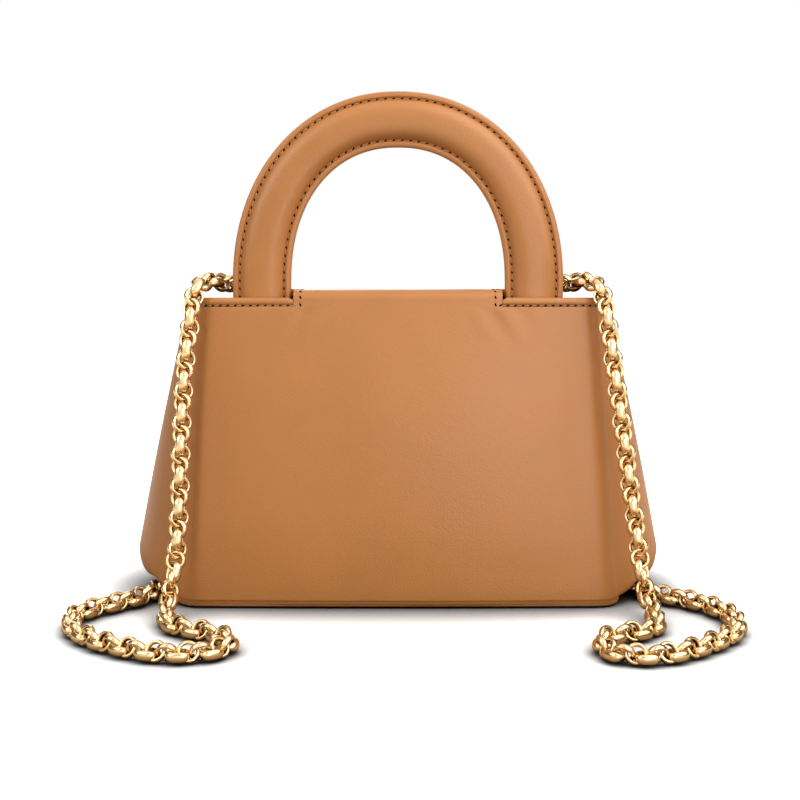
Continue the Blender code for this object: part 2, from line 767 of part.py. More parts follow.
def make_socket(name, side, material, collection):
    """A fibre block glued inside the back, which holds the tab of one handle leg."""
    build = bmesh.new()
    bmesh.ops.create_cube(build, size=1)
    inset = WALL + LINING_GAP + EDGE_PROUD + FACING_BAND_THICKNESS + CLEARANCE
    for vert in build.verts:
        z = SOCKET_TOP if vert.co.z > 0 else SOCKET_TOP - SOCKET_HEIGHT
        front = -(face_depth(SOCKET_TOP) - inset)
        y = socket_back() if vert.co.y > 0 else front
        vert.co = (side * LEG_MIDDLE + math.copysign(SOCKET_HALF_WIDTH, vert.co.x), y, z)
    return object_from_bmesh(name, build, material, collection)


def make_tab_cutter(name, side, collection):
    width = ARCH_OUTER_HALF - ARCH_INNER_HALF - 2 * (HANDLE_SKIN + HANDLE_TAB_INSET) + CLEARANCE
    low = HANDLE_TAB_END - 2 * CLEARANCE
    height = SOCKET_TOP + CUT_OVERRUN - low
    size = (width, HANDLE_BOARD + 2 * CLEARANCE, height)
    return box_cutter(name, size, (side * LEG_MIDDLE, HANDLE_MIDDLE, low + height / 2), collection)


def rivet_places(side):
    middle = (HANDLE_TAB_END + SOCKET_TOP) / 2
    return [(side * LEG_MIDDLE + shift, middle) for shift in (-RIVET_SPREAD, RIVET_SPREAD)]


def add_cylinder(build, radius, start, end, segments=16):
    """A closed cylinder between two points, added to a bmesh."""
    start, end = Vector(start), Vector(end)
    axis = end - start
    turn = Vector((0, 0, 1)).rotation_difference(axis).to_matrix().to_4x4()
    bmesh.ops.create_cone(
        build,
        cap_ends=True,
        segments=segments,
        radius1=radius,
        radius2=radius,
        depth=axis.length,
        matrix=Matrix.Translation((start + end) / 2) @ turn,
    )


def make_rivet_cutter(name, side, material, collection):
    build = bmesh.new()
    for x, z in rivet_places(side):
        start = (x, HANDLE_MIDDLE - HANDLE_THICKNESS, z)
        add_cylinder(build, RIVET_RADIUS + CLEARANCE, start, (x, HANDLE_MIDDLE + HANDLE_THICKNESS, z))
    cutter = object_from_bmesh(name, build, material, collection)
    hide_cutter(cutter)
    return cutter


def make_rivets(brass, collection):
    """Two rivets through each socket and its tab, set from the front of the bag."""
    for side, name in ((-1, "left"), (1, "right")):
        for number, (x, z) in enumerate(rivet_places(side), 1):
            head = socket_back() + CLEARANCE
            tip = HANDLE_MIDDLE - HANDLE_BOARD / 2 - SOCKET_BACK_WALL / 2
            profile = [
                (0, head + RIVET_HEAD),
                (RIVET_HEAD_RADIUS, head + RIVET_HEAD),
                (RIVET_HEAD_RADIUS, head),
                (RIVET_RADIUS, head),
                (RIVET_RADIUS, tip),
                (0, tip),
            ]
            place = Matrix.Translation((x, 0, z)) @ Matrix.Rotation(math.radians(-90), 4, "X")
            make_turned(f"{name}_handle_rivet_{number}", profile, place, brass, collection)


# Flap


def flap_height(y, back, crease):
    """The height of the flap's top: a small roll at the back edge, then a slow fall to the front crease."""
    roll_end = back + FLAP_ROLL_REACH
    if y <= roll_end:
        return FLAP_TOP_HEIGHT - FLAP_ROLL * (1 - math.sqrt(bow((y - back) / FLAP_ROLL_REACH / 2)))
    share = (y - roll_end) / (crease - roll_end)
    return FLAP_TOP_HEIGHT - (FLAP_TOP_HEIGHT - FLAP_CREASE_HEIGHT) * share**FLAP_FALL_POWER


def flap_stations():
    """Stations (y, top height, half width) of the flap's top, from the back roll to the front crease."""
    back = -(DEPTH_TOP_HALF + FACE_CROWN)
    neck_end = back + NECK_LENGTH
    crease = crease_line()[0] - FACING - LEATHER - 2 * CLEARANCE
    roll_end = back + FLAP_ROLL_REACH
    narrow = [back, back + FLAP_ROLL, roll_end, (roll_end + neck_end) / 2, neck_end]
    wide = [neck_end + NECK_FLARE, (neck_end + crease) / 2, crease]
    stations = [(y, FLAP_NECK_HALF) for y in narrow] + [(y, FLAP_HALF) for y in wide]
    return [(y, flap_height(y, back, crease), half) for y, half in stations]


def make_flap_top(leather, collection):
    """The top of the flap and, set back from its edges, the facing on its underside."""
    stations = flap_stations()
    skins = (
        ("flap_top_outer", stations, 0, 0, LEATHER),
        ("flap_top_facing", stations[2:], FACING_SETBACK, LEATHER + CLEARANCE, FACING),
    )
    for name, rows, setback, drop, thickness in skins:
        outer = []
        inner = []
        for y, top, half in rows:
            across = [(half - setback) * share for share in ACROSS_SHARES]
            outer.append([(x, y, top - drop) for x in across])
            inner.append([(x, y, top - drop - thickness) for x in across])
        sheet_solid(name, outer, inner, leather, collection)


FACE_LEAN = math.atan2(DEPTH_FOOT_HALF - DEPTH_TOP_HALF, SIDE_SEAM_HEIGHT)
FRONT_FRAME = (
    Matrix.Translation((0, DEPTH_FOOT_HALF, 0))
    @ Matrix.Rotation(math.pi, 4, "Z")
    @ Matrix.Rotation(math.pi / 2 - FACE_LEAN, 4, "X")
)


def on_front(x, height, out):
    """A placement on the front face: its z axis points out of the face and its y axis up it."""
    return FRONT_FRAME @ Matrix.Translation((-x, height / math.cos(FACE_LEAN), out))


def crease_line():
    """(y, z) of the flap's front crease: the top outer edge of the front flap's leather."""
    corner = on_front(0, FLAP_CREASE_HEIGHT, flap_out()).translation
    return corner.y, corner.z


def flap_out():
    """How far the front flap's outer surface lies off the front face."""
    return FLAP_FACE_GAP + FACING + CLEARANCE + LEATHER


def flap_front_outline(setback):
    """The front flap in its own plane, from the crease down: straight sides that draw in to a round foot."""
    top = FLAP_CREASE_HEIGHT / math.cos(FACE_LEAN)
    foot = top - FLAP_DROP + setback
    radius = FLAP_FOOT_RADIUS - setback
    half = FLAP_HALF - setback
    foot_half = FLAP_FOOT_HALF - setback
    right = [(half, top)]
    for i in range(FLAP_FOOT_STEPS + 1):
        angle = math.pi / 2 * i / FLAP_FOOT_STEPS
        x = foot_half - radius + radius * math.cos(angle)
        right.append((x, foot + radius - radius * math.sin(angle)))
    return right + [(-x, y) for x, y in reversed(right)]


def slot_outline(length, width):
    """A round-ended upright slot about the lock's middle, in the face's own plane."""
    middle = LOCK_HEIGHT / math.cos(FACE_LEAN)
    return [(x, y + middle) for x, y in rounded_box_outline(width, length, width / 2 - CLEARANCE)]


def make_flap_front(leather, brass, collection):
    slot = slot_outline(SLOT_LENGTH, SLOT_WIDTH)
    wide_slot = slot_outline(SLOT_LENGTH + 2 * CLEARANCE, SLOT_WIDTH + 2 * CLEARANCE)
    outer_low = FLAP_FACE_GAP + FACING + CLEARANCE
    matrix = FRONT_FRAME @ Matrix.Translation((0, 0, outer_low))
    outline = flap_front_outline(0)
    make_plate("flap_front_outer", outline, LEATHER, matrix, leather, collection, holes=(wide_slot,))
    matrix = FRONT_FRAME @ Matrix.Translation((0, 0, FLAP_FACE_GAP))
    outline = flap_front_outline(FACING_SETBACK)
    make_plate("flap_front_facing", outline, FACING, matrix, leather, collection, holes=(wide_slot,))
    matrix = FRONT_FRAME @ Matrix.Translation((0, 0, flap_out() + CLEARANCE))
    rim = slot_outline(EYELET_LENGTH, EYELET_WIDTH)
    make_plate("flap_eyelet", rim, EYELET_THICKNESS, matrix, brass, collection, PLATE_BEVEL, (slot,))


def make_lock(brass, front, lining, parts, cutters):
    """The turn lock: a housing on the front shell, a bar on a spindle through it, and its washer and clip."""
    inside = WALL + LINING_GAP + CLOTH + CLEARANCE
    housing_low = FACE_CROWN + CLEARANCE
    housing_high = flap_out() + CLEARANCE + EYELET_THICKNESS
    bar_low = housing_high + LOCK_BAR_GAP
    housing = make_plate(
        "lock_housing",
        rounded_box_outline(LOCK_HOUSING_WIDTH, LOCK_HOUSING_LENGTH, LOCK_HOUSING_WIDTH / 2 - CLEARANCE),
        housing_high - housing_low,
        on_front(0, LOCK_HEIGHT, housing_low),
        brass,
        parts,
    )
    build = bmesh.new()
    add_cylinder(build, SPINDLE_RADIUS + CLEARANCE, (0, 0, -CUT_OVERRUN * 2), (0, 0, CUT_OVERRUN * 2))
    bmesh.ops.transform(build, verts=build.verts, matrix=on_front(0, LOCK_HEIGHT, 0))
    cutter = object_from_bmesh("spindle_cut", build, brass, cutters)
    hide_cutter(cutter)
    for obj in (housing, front, lining):
        cut(obj, cutter)
    bar = rounded_box_outline(LOCK_BAR_WIDTH, LOCK_BAR_LENGTH, LOCK_BAR_WIDTH / 2 - CLEARANCE)
    matrix = on_front(0, LOCK_HEIGHT, bar_low)
    make_plate("lock_bar", bar, LOCK_BAR_THICKNESS, matrix, brass, parts, PLATE_BEVEL)
    washer_high = -inside
    clip_high = washer_high - WASHER_THICKNESS - CLEARANCE
    spindle_low = clip_high - CLIP_THICKNESS
    spindle = [(0, bar_low - CLEARANCE), (SPINDLE_RADIUS, bar_low - CLEARANCE)]
    spindle += [(SPINDLE_RADIUS, clip_high), (CLIP_RADIUS, clip_high), (CLIP_RADIUS, spindle_low)]
    spindle.append((0, spindle_low))
    make_turned("lock_spindle", spindle, on_front(0, LOCK_HEIGHT, 0), brass, parts)
    hole = SPINDLE_RADIUS + CLEARANCE
    washer_low = washer_high - WASHER_THICKNESS
    washer = [(hole, washer_high), (WASHER_RADIUS, washer_high), (WASHER_RADIUS, washer_low)]
    washer += [(hole, washer_low), (hole, washer_high)]
    make_turned("lock_washer", washer, on_front(0, LOCK_HEIGHT, 0), brass, parts, 24)


# Chain


def make_chain_anchor(name, side, brass, collection):
    """A turned stud on the back of a handle leg, and the ring that hangs on its shank."""
    low = HANDLE_MIDDLE + HANDLE_THICKNESS / 2 + CLEARANCE
    flange = low + STUD_FLANGE
    shank = flange + STUD_SHANK
    head = shank + STUD_HEAD
    profile = [
        (0, head),
        (STUD_HEAD_RADIUS, head),
        (STUD_HEAD_RADIUS, shank),
        (STUD_SHANK_RADIUS, shank),
        (STUD_SHANK_RADIUS, flange),
        (STUD_FLANGE_RADIUS, flange),
        (STUD_FLANGE_RADIUS, low),
        (0, low),
    ]
    turn = Matrix.Rotation(math.radians(-90), 4, "X")
    place = Matrix.Translation((side * LEG_MIDDLE, 0, STUD_HEIGHT)) @ turn
    make_turned(f"{name}_chain_stud", profile, place, brass, collection)
    hang = RING_RADIUS - RING_WIRE_RADIUS - STUD_SHANK_RADIUS - CLEARANCE
    bpy.ops.mesh.primitive_torus_add(
        major_radius=RING_RADIUS,
        minor_radius=RING_WIRE_RADIUS,
        major_segments=16,
        minor_segments=6,
    )
    ring = bpy.context.object
    ring.name = f"{name}_chain_ring"
    x = side * (LEG_MIDDLE + hang)
    ring.data.transform(Matrix.Translation((x, (flange + shank) / 2, STUD_HEIGHT)) @ turn)
    ring.data.shade_smooth()
    ring.data.materials.append(brass)
    move_to_collection(ring, collection)


def smooth_route(points, spacing):
    """Evenly spaced points on a smooth curve through the given ones (a centripetal spline)."""
    points = [Vector(point) for point in points]
    points = [2 * points[0] - points[1]] + points + [2 * points[-1] - points[-2]]
    fine = []
    for before, start, end, after in zip(points, points[1:], points[2:], points[3:]):
        knots = [0]
        for first, second in ((before, start), (start, end), (end, after)):
            knots.append(knots[-1] + (second - first).length ** 0.5)
        for step in range(ROUTE_STEPS):
            at = lerp(knots[1], knots[2], step / ROUTE_STEPS)
            fine.append(spline_point((before, start, end, after), knots, at))
    fine.append(points[-2])
    lengths = [0]
    for first, second in zip(fine, fine[1:]):
        lengths.append(lengths[-1] + (second - first).length)
    count = round(lengths[-1] / spacing)
    even = []
    place = 0
    for step in range(count + 1):
        target = lengths[-1] * step / count
        while place < len(fine) - 2 and lengths[place + 1] < target:
            place += 1
        span = lengths[place + 1] - lengths[place]
        even.append(fine[place].lerp(fine[place + 1], (target - lengths[place]) / span))
    return even, lengths[-1]


def spline_point(points, knots, at):
    """A point on the centripetal spline between the second and third of four points."""
    level = list(points)
    for order in range(1, 4):
        spans = [(knots[i], knots[i + min(order, 2)]) for i in range(4 - order)]
        if order == 3:
            spans = [(knots[1], knots[2])]
        shares = [(at - low) / (high - low) for low, high in spans]
        level = [first.lerp(second, share) for first, second, share in zip(level, level[1:], shares)]
    return level[0]


def make_chain(brass, collection):
    points, length = smooth_route(CHAIN_ROUTE, CHAIN_POINT_SPACING)
    print(f"shoulder chain: {length:.3f} m along its middle, {len(points)} points")
    curve = bpy.data.curves.new("shoulder_chain", "CURVE")
    curve.dimensions = "3D"
    curve.bevel_depth = CHAIN_RADIUS
    curve.bevel_resolution = CHAIN_BEVEL_RESOLUTION
    curve.use_fill_caps = True
    spline = curve.splines.new("POLY")
    spline.points.add(len(points) - 1)
    for point, place in zip(spline.points, points):
        point.co = (*place, 1)
    curve.materials.append(brass)
    obj = bpy.data.objects.new("shoulder_chain", curve)
    collection.objects.link(obj)


def notch_for_handle(facing, cutters):
    """Opens the mouth facing where the handle legs go down behind the turned edge."""
    width = ARCH_OUTER_HALF - ARCH_INNER_HALF + 2 * HANDLE_NOTCH_GAP
    low = SOCKET_TOP - CLEARANCE
    height = SIDE_SEAM_HEIGHT + CUT_OVERRUN - low
    for side, name in ((-1, "left_leg_cut"), (1, "right_leg_cut")):
        place = (side * LEG_MIDDLE, HANDLE_MIDDLE, low + height / 2)
        cut(facing, box_cutter(name, (width, 2 * HANDLE_THICKNESS, height), place, cutters))


def build_bag():
    clear_scene()
    parts = new_collection("chain_handle_handbag")
    cutters = new_collection("cutters")
    leather = make_material("caramel_leather", (0.56, 0.26, 0.11), 0.45)
    cloth = make_material("lining_cloth", (0.30, 0.17, 0.09), 0.85)
    board = make_material("board", (0.35, 0.30, 0.24), 0.8)
    foam = make_material("foam", (0.85, 0.82, 0.72), 0.9)
    brass = make_material("gold_plate", (0.83, 0.60, 0.27), 0.22, 1.0)
    front, lining, facing = make_body(leather, cloth, board, parts, cutters)
    notch_for_handle(facing, cutters)
    make_handle(leather, foam, board, parts, cutters)
    make_rivets(brass, parts)
    make_flap_top(leather, parts)
    make_flap_front(leather, brass, parts)
    make_lock(brass, front, lining, parts, cutters)
    for side, name in ((-1, "left"), (1, "right")):
        make_chain_anchor(name, side, brass, parts)
    make_chain(brass, parts)


build_bag()
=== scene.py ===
"""The looks of a small trapezoid handbag in caramel calf, with a padded arch handle and a gold link chain.

X runs across the bag, the plain back panel faces -Y and the camera, the flap falls over the front at +Y.
All sizes are in metres.
"""

import json
import math

import bmesh
import bpy
from mathutils import Matrix, Vector, noise
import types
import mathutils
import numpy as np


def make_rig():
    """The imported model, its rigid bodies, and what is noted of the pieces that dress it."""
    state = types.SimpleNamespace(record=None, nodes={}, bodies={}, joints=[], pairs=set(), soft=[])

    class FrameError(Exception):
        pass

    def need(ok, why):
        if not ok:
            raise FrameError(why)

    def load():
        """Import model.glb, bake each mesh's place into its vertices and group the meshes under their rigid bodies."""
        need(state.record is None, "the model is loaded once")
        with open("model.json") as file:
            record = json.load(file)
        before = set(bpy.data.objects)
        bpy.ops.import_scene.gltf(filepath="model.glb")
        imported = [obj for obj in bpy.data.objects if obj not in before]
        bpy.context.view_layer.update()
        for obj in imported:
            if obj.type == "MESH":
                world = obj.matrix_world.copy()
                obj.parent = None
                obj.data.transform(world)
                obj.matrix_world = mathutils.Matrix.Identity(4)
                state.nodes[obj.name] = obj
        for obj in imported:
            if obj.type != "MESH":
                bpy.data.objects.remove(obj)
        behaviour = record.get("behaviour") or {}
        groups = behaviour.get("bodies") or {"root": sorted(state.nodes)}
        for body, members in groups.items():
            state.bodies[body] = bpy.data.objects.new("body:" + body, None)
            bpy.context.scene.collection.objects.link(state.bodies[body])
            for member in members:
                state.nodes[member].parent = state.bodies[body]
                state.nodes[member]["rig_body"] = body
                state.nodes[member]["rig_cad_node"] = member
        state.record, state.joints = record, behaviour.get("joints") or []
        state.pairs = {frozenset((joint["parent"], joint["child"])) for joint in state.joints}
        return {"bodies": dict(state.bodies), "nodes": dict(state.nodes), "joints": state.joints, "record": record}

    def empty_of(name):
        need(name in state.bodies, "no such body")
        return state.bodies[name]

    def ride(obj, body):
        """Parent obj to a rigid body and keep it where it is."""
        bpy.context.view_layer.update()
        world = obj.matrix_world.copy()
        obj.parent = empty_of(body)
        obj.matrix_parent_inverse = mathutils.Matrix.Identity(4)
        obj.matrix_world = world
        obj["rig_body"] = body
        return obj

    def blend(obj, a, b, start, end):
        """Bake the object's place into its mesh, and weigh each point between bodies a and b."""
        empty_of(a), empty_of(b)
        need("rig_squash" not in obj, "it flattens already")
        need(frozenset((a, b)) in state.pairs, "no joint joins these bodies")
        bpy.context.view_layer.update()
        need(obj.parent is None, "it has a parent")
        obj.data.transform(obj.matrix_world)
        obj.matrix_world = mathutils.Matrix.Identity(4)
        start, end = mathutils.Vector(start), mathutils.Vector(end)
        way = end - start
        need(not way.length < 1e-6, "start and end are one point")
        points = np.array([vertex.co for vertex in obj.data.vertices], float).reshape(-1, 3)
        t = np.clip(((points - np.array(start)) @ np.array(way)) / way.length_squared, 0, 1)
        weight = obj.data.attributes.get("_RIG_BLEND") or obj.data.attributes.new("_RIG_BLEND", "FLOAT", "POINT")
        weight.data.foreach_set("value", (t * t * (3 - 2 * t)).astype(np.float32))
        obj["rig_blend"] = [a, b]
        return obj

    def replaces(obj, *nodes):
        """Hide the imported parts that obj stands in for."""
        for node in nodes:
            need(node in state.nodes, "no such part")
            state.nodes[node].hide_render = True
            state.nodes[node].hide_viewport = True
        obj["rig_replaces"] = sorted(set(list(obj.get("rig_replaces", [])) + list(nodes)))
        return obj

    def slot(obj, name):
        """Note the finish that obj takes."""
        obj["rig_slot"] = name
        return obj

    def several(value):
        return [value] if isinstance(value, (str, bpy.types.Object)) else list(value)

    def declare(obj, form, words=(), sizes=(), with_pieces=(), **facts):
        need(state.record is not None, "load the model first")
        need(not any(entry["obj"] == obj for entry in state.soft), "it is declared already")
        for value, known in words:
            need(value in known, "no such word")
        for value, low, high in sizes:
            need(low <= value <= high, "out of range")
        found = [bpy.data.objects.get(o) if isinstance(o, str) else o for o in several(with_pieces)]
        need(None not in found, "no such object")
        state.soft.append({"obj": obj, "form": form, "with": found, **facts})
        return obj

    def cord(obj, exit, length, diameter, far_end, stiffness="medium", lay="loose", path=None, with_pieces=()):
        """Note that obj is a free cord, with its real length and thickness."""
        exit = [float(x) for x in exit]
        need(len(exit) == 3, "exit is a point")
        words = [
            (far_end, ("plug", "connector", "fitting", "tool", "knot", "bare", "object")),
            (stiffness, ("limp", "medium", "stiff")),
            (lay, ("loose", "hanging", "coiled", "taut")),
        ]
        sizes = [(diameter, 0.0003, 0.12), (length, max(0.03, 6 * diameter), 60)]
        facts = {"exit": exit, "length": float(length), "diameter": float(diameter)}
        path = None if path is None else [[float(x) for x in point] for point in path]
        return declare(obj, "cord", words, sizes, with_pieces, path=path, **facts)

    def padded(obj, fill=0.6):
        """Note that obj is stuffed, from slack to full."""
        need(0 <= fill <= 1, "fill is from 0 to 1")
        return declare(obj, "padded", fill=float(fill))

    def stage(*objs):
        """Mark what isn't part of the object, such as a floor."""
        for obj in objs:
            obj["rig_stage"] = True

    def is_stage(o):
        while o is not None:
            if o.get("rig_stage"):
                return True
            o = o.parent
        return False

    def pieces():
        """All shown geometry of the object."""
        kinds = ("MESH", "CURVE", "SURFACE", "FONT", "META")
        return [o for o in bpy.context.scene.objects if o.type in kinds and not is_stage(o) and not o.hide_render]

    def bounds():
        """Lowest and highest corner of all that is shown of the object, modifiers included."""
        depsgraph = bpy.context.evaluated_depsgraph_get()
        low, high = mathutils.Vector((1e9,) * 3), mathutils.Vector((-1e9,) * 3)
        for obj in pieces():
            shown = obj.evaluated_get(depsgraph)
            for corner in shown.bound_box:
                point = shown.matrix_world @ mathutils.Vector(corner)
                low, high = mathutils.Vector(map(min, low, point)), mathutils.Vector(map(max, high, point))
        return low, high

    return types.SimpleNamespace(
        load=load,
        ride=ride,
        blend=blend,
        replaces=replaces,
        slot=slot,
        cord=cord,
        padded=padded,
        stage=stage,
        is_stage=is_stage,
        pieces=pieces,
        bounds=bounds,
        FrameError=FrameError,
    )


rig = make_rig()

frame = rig.load()
cad_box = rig.bounds()

# Studio: a white table under large soft lights, the key from the upper right, as in the photograph.
# The table is white and keeps the bag's shadow, with a painted contact shadow added close to what stands
# on it. Away from the bag it glows to the camera, so that it runs into the white behind it with no horizon, and it
# throws little light up on the bag.
SENSOR_WIDTH, LENS, LENS_SHIFT = 36, 63.68, 0.0025
CAMERA_PLACE = (0, -0.70, 0.18)
CAMERA_DIP = 6.975
BAG_MIDDLE = (0, 0, 0.1)


def add_object(name, data):
    holder = bpy.data.objects.new(name, data)
    bpy.context.scene.collection.objects.link(holder)
    return holder


def soft_light(name, place, target, size, power, color=(1, 1, 1)):
    lamp = bpy.data.lights.new(name, "AREA")
    lamp.shape = "RECTANGLE"
    lamp.size, lamp.size_y = size
    lamp.energy = power
    lamp.color = color
    holder = add_object(name, lamp)
    holder.location = place
    aim = Vector(target) - Vector(place)
    holder.rotation_euler = aim.to_track_quat("-Z", "Y").to_euler()


camera_data = bpy.data.cameras.new("camera")
camera_data.sensor_width = SENSOR_WIDTH
camera_data.lens = LENS
camera_data.shift_x = LENS_SHIFT
camera = add_object("camera", camera_data)
camera.location = CAMERA_PLACE
camera.rotation_euler = (math.radians(90 - CAMERA_DIP), 0, 0)
bpy.context.scene.camera = camera
bpy.context.scene.view_settings.view_transform = "Standard"
soft_light("key_light", (0.54, -0.38, 0.68), BAG_MIDDLE, (0.9, 0.9), 7.5, (1, 0.985, 0.965))
soft_light("top_light", (0.0, -0.10, 1.0), BAG_MIDDLE, (1.1, 1.1), 2.7)
soft_light("fill_light", (-0.60, -0.42, 0.58), BAG_MIDDLE, (0.6, 0.6), 3.1)
soft_light("sheen_light", (0.17, -0.60, 0.15), (0.06, -0.04, 0.09), (0.12, 0.30), 0.6)
soft_light("rear_light", (-0.35, 0.95, 0.60), BAG_MIDDLE, (0.8, 0.8), 4.0)


def set_inputs(node, values):
    """Gives each named input a value, or a link where the value is a socket or a node's first output."""
    for name, value in values.items():
        if isinstance(value, bpy.types.Node):
            value = value.outputs[0]
        if isinstance(value, bpy.types.NodeSocket):
            node.id_data.links.new(value, node.inputs[name])
        else:
            node.inputs[name].default_value = value


def add_node(tree, kind, values=None, **settings):
    node = tree.nodes.new("ShaderNode" + kind)
    for setting, value in settings.items():
        setattr(node, setting, value)
    set_inputs(node, values or {})
    return node


def fade_in(tree, value, start, end, full=1):
    """A smooth rise from 0 to full, while a value goes from start to end."""
    values = {"Value": value, "From Min": start, "From Max": end, "To Max": full}
    return add_node(tree, "MapRange", values, interpolation_type="SMOOTHSTEP")


def mix_colors(tree, factor, low, high):
    return add_node(tree, "Mix", {"Factor": factor, "A": low, "B": high}, data_type="RGBA").outputs["Result"]


# The world lights the scene a little and is plain white to the camera. What is glossy mirrors a dim,
# warm room instead, with two upright windows before the bag and a weaker one overhead.
AMBIENT = 0.15
WHITE = (1, 1, 1, 1)
WARM_ROOM = (0.18, 0.130, 0.085, 1)
# Windows as (direction, cosine of the angle off it at the rim and where it is full, brightness)
WINDOWS = (
    ((0.50, -0.84, 0.10), 0.62, 0.95, 1.15),
    ((-0.50, -0.84, 0.10), 0.62, 0.95, 0.90),
    ((0, -0.1, 1), 0.50, 0.95, 0.40),
)
world = bpy.data.worlds.new("studio")
bpy.context.scene.world = world
world.use_nodes = True
tree = world.node_tree
tree.nodes.clear()
path = add_node(tree, "LightPath").outputs
direction = add_node(tree, "TexCoord").outputs["Generated"]
mirrored = add_node(tree, "RGB")
mirrored.outputs[0].default_value = WARM_ROOM
for towards, rim, full, brightness in WINDOWS:
    towards = Vector(towards).normalized()
    toward = add_node(tree, "VectorMath", {0: direction, 1: towards}, operation="DOT_PRODUCT")
    window = fade_in(tree, toward.outputs["Value"], rim, full, brightness)
    mirrored = add_node(tree, "VectorMath", {0: mirrored, 1: window}, operation="ADD")
lighting = add_node(tree, "Background", {"Color": WHITE, "Strength": AMBIENT})
reflection = add_node(tree, "Background", {"Color": mirrored})
backdrop = add_node(tree, "Background", {"Color": WHITE})
unseen = add_node(tree, "MixShader", {0: path["Is Glossy Ray"], 1: lighting, 2: reflection})
seen = add_node(tree, "MixShader", {0: path["Is Camera Ray"], 1: unseen, 2: backdrop})
add_node(tree, "OutputWorld", {"Surface": seen})

# The table's paint bounces little light, and what mirrors it sees a painted warm reflection instead of
# its white. Close to what stands on it an ambient occlusion probe darkens its paint and its glow, a painted
# contact shadow, and further out it glows, both to the camera and, later and less, in what mirrors it.
TABLE_SIZE = 8
GLOW_STARTS, GLOW_FULL = 0.05, 0.24
MIRRORED_GLOW_STARTS, MIRRORED_GLOW_FULL, MIRRORED_GLOW = 0.14, 0.38, 0.75
CONTACT_SHADOW_REACH, CONTACT_SHADOW_DEPTH = 0.026, 2.3
SEEN_PAINT = (0.93, 0.93, 0.93, 1)
BOUNCING_PAINT = (0.14, 0.14, 0.14, 1)
PAINTED_WARM_REFLECTION = (0.58, 0.42, 0.27, 1)


def new_material(name):
    """A new material, the tree of its nodes and its shader."""
    material = bpy.data.materials.new(name)
    material.use_nodes = True
    return material, material.node_tree, material.node_tree.nodes["Principled BSDF"]


bpy.ops.mesh.primitive_plane_add(size=TABLE_SIZE)
table = bpy.context.object
table.name = "table"
table_white, tree, shader = new_material("table_white")
tree.nodes.clear()
path = add_node(tree, "LightPath").outputs
place = add_node(tree, "TexCoord").outputs["Object"]
distance = add_node(tree, "VectorMath", {0: place}, operation="LENGTH").outputs["Value"]
mirrored_glow = fade_in(tree, distance, MIRRORED_GLOW_STARTS, MIRRORED_GLOW_FULL, MIRRORED_GLOW)
mirrored_glow = add_node(tree, "Math", {0: mirrored_glow, 1: path["Is Glossy Ray"]}, operation="MULTIPLY")
glow = {0: fade_in(tree, distance, GLOW_STARTS, GLOW_FULL), 1: path["Is Camera Ray"], 2: mirrored_glow}
glow_strength = add_node(tree, "Math", glow, operation="MULTIPLY_ADD")
# Painted contact shadow: ambient occlusion near what stands on the table darkens its paint and its glow.
painted_shadow_probe = add_node(tree, "AmbientOcclusion", {"Distance": CONTACT_SHADOW_REACH}, samples=8)
painted_shade_factor = add_node(tree, "Math", {0: painted_shadow_probe.outputs["AO"], 1: CONTACT_SHADOW_DEPTH}, operation="POWER")
paint = mix_colors(tree, path["Is Diffuse Ray"], SEEN_PAINT, BOUNCING_PAINT)
# Painted reflection: what mirrors the table sees it warm, not white.
paint = mix_colors(tree, path["Is Glossy Ray"], paint, PAINTED_WARM_REFLECTION)
shaded = add_node(tree, "VectorMath", {0: paint, "Scale": painted_shade_factor}, operation="SCALE")
surface = add_node(tree, "BsdfDiffuse", {"Color": shaded})
glow = add_node(tree, "Emission", {"Color": painted_shade_factor, "Strength": glow_strength})
total = add_node(tree, "AddShader", {0: surface, 1: glow})
add_node(tree, "OutputMaterial", {"Surface": total})
table.data.materials.append(table_white)
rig.stage(table)

# Body: one caramel calf skin over stiffener makes the back and half of each side, and another the
# front. They meet in a side seam that stands out near the foot as a soft folded wing. Both are turned
# under at the foot, where the base is sewn in.
SEAM_HEIGHT = 0.14525
MOUTH_FALL = 0.0035
DEPTH_TOP = 0.0335
DEPTH_FOOT = 0.0465
FACE_TOP = 0.0955
FACE_FOOT = 0.108
FACE_CROWN = 0.0008
CORNER_TOP = 0.0085
CORNER_FOOT = 0.0133
SEAM_TOP = 0.103
SEAM_BOW = 0.0009
SEAM_GAP = 0.00015
WING_HALF = 0.1303
WING_HEIGHT = 0.021
BULGE_TOP = 0.001
BULGE_LOW = 0.006
FOOT_BULGE = 0.0004
FOOT_HALF = 0.1085
FOOT_LOW = 0.0023
SKIN = 0.0016
EDGE_DROP = 0.0036
# Rows of the body below the wing: (height, half width at the seam, bulge of the side)
FOOT_ROWS = [
    (FOOT_LOW, FOOT_HALF, FOOT_BULGE), (0.0050, FOOT_HALF, FOOT_BULGE), (0.0080, FOOT_HALF, FOOT_BULGE),
    (0.0098, 0.1090, 0.0006), (0.0101, 0.1120, 0.0020), (0.0102, 0.1180, 0.0040),
    (0.0104, 0.1247, 0.0057), (0.0112, 0.1271, 0.0060), (0.0130, 0.1286, 0.0061),
    (0.0155, 0.1296, 0.0061), (0.0182, 0.1302, 0.0060), (WING_HEIGHT, WING_HALF, BULGE_LOW),
]
WING_ROW = len(FOOT_ROWS) - 1
BODY_ROWS = 64
BODY_COLUMNS = 132
ROW_CROWDING = 1.7
# Shares of the way from the middle of a face to the seam: where its corner's arc begins and ends
FACE_SHARE = 0.58
ARC_SHARE = 0.74


def lerp(low, high, share):
    return low + (high - low) * share


def bow(share):
    return 4 * share * (1 - share)


def smooth(share):
    share = min(max(share, 0), 1)
    return share * share * (3 - 2 * share)


def rise_over(value, start, end):
    """A smooth rise from 0 to 1 while a value goes from start to end."""
    return smooth((value - start) / (end - start))


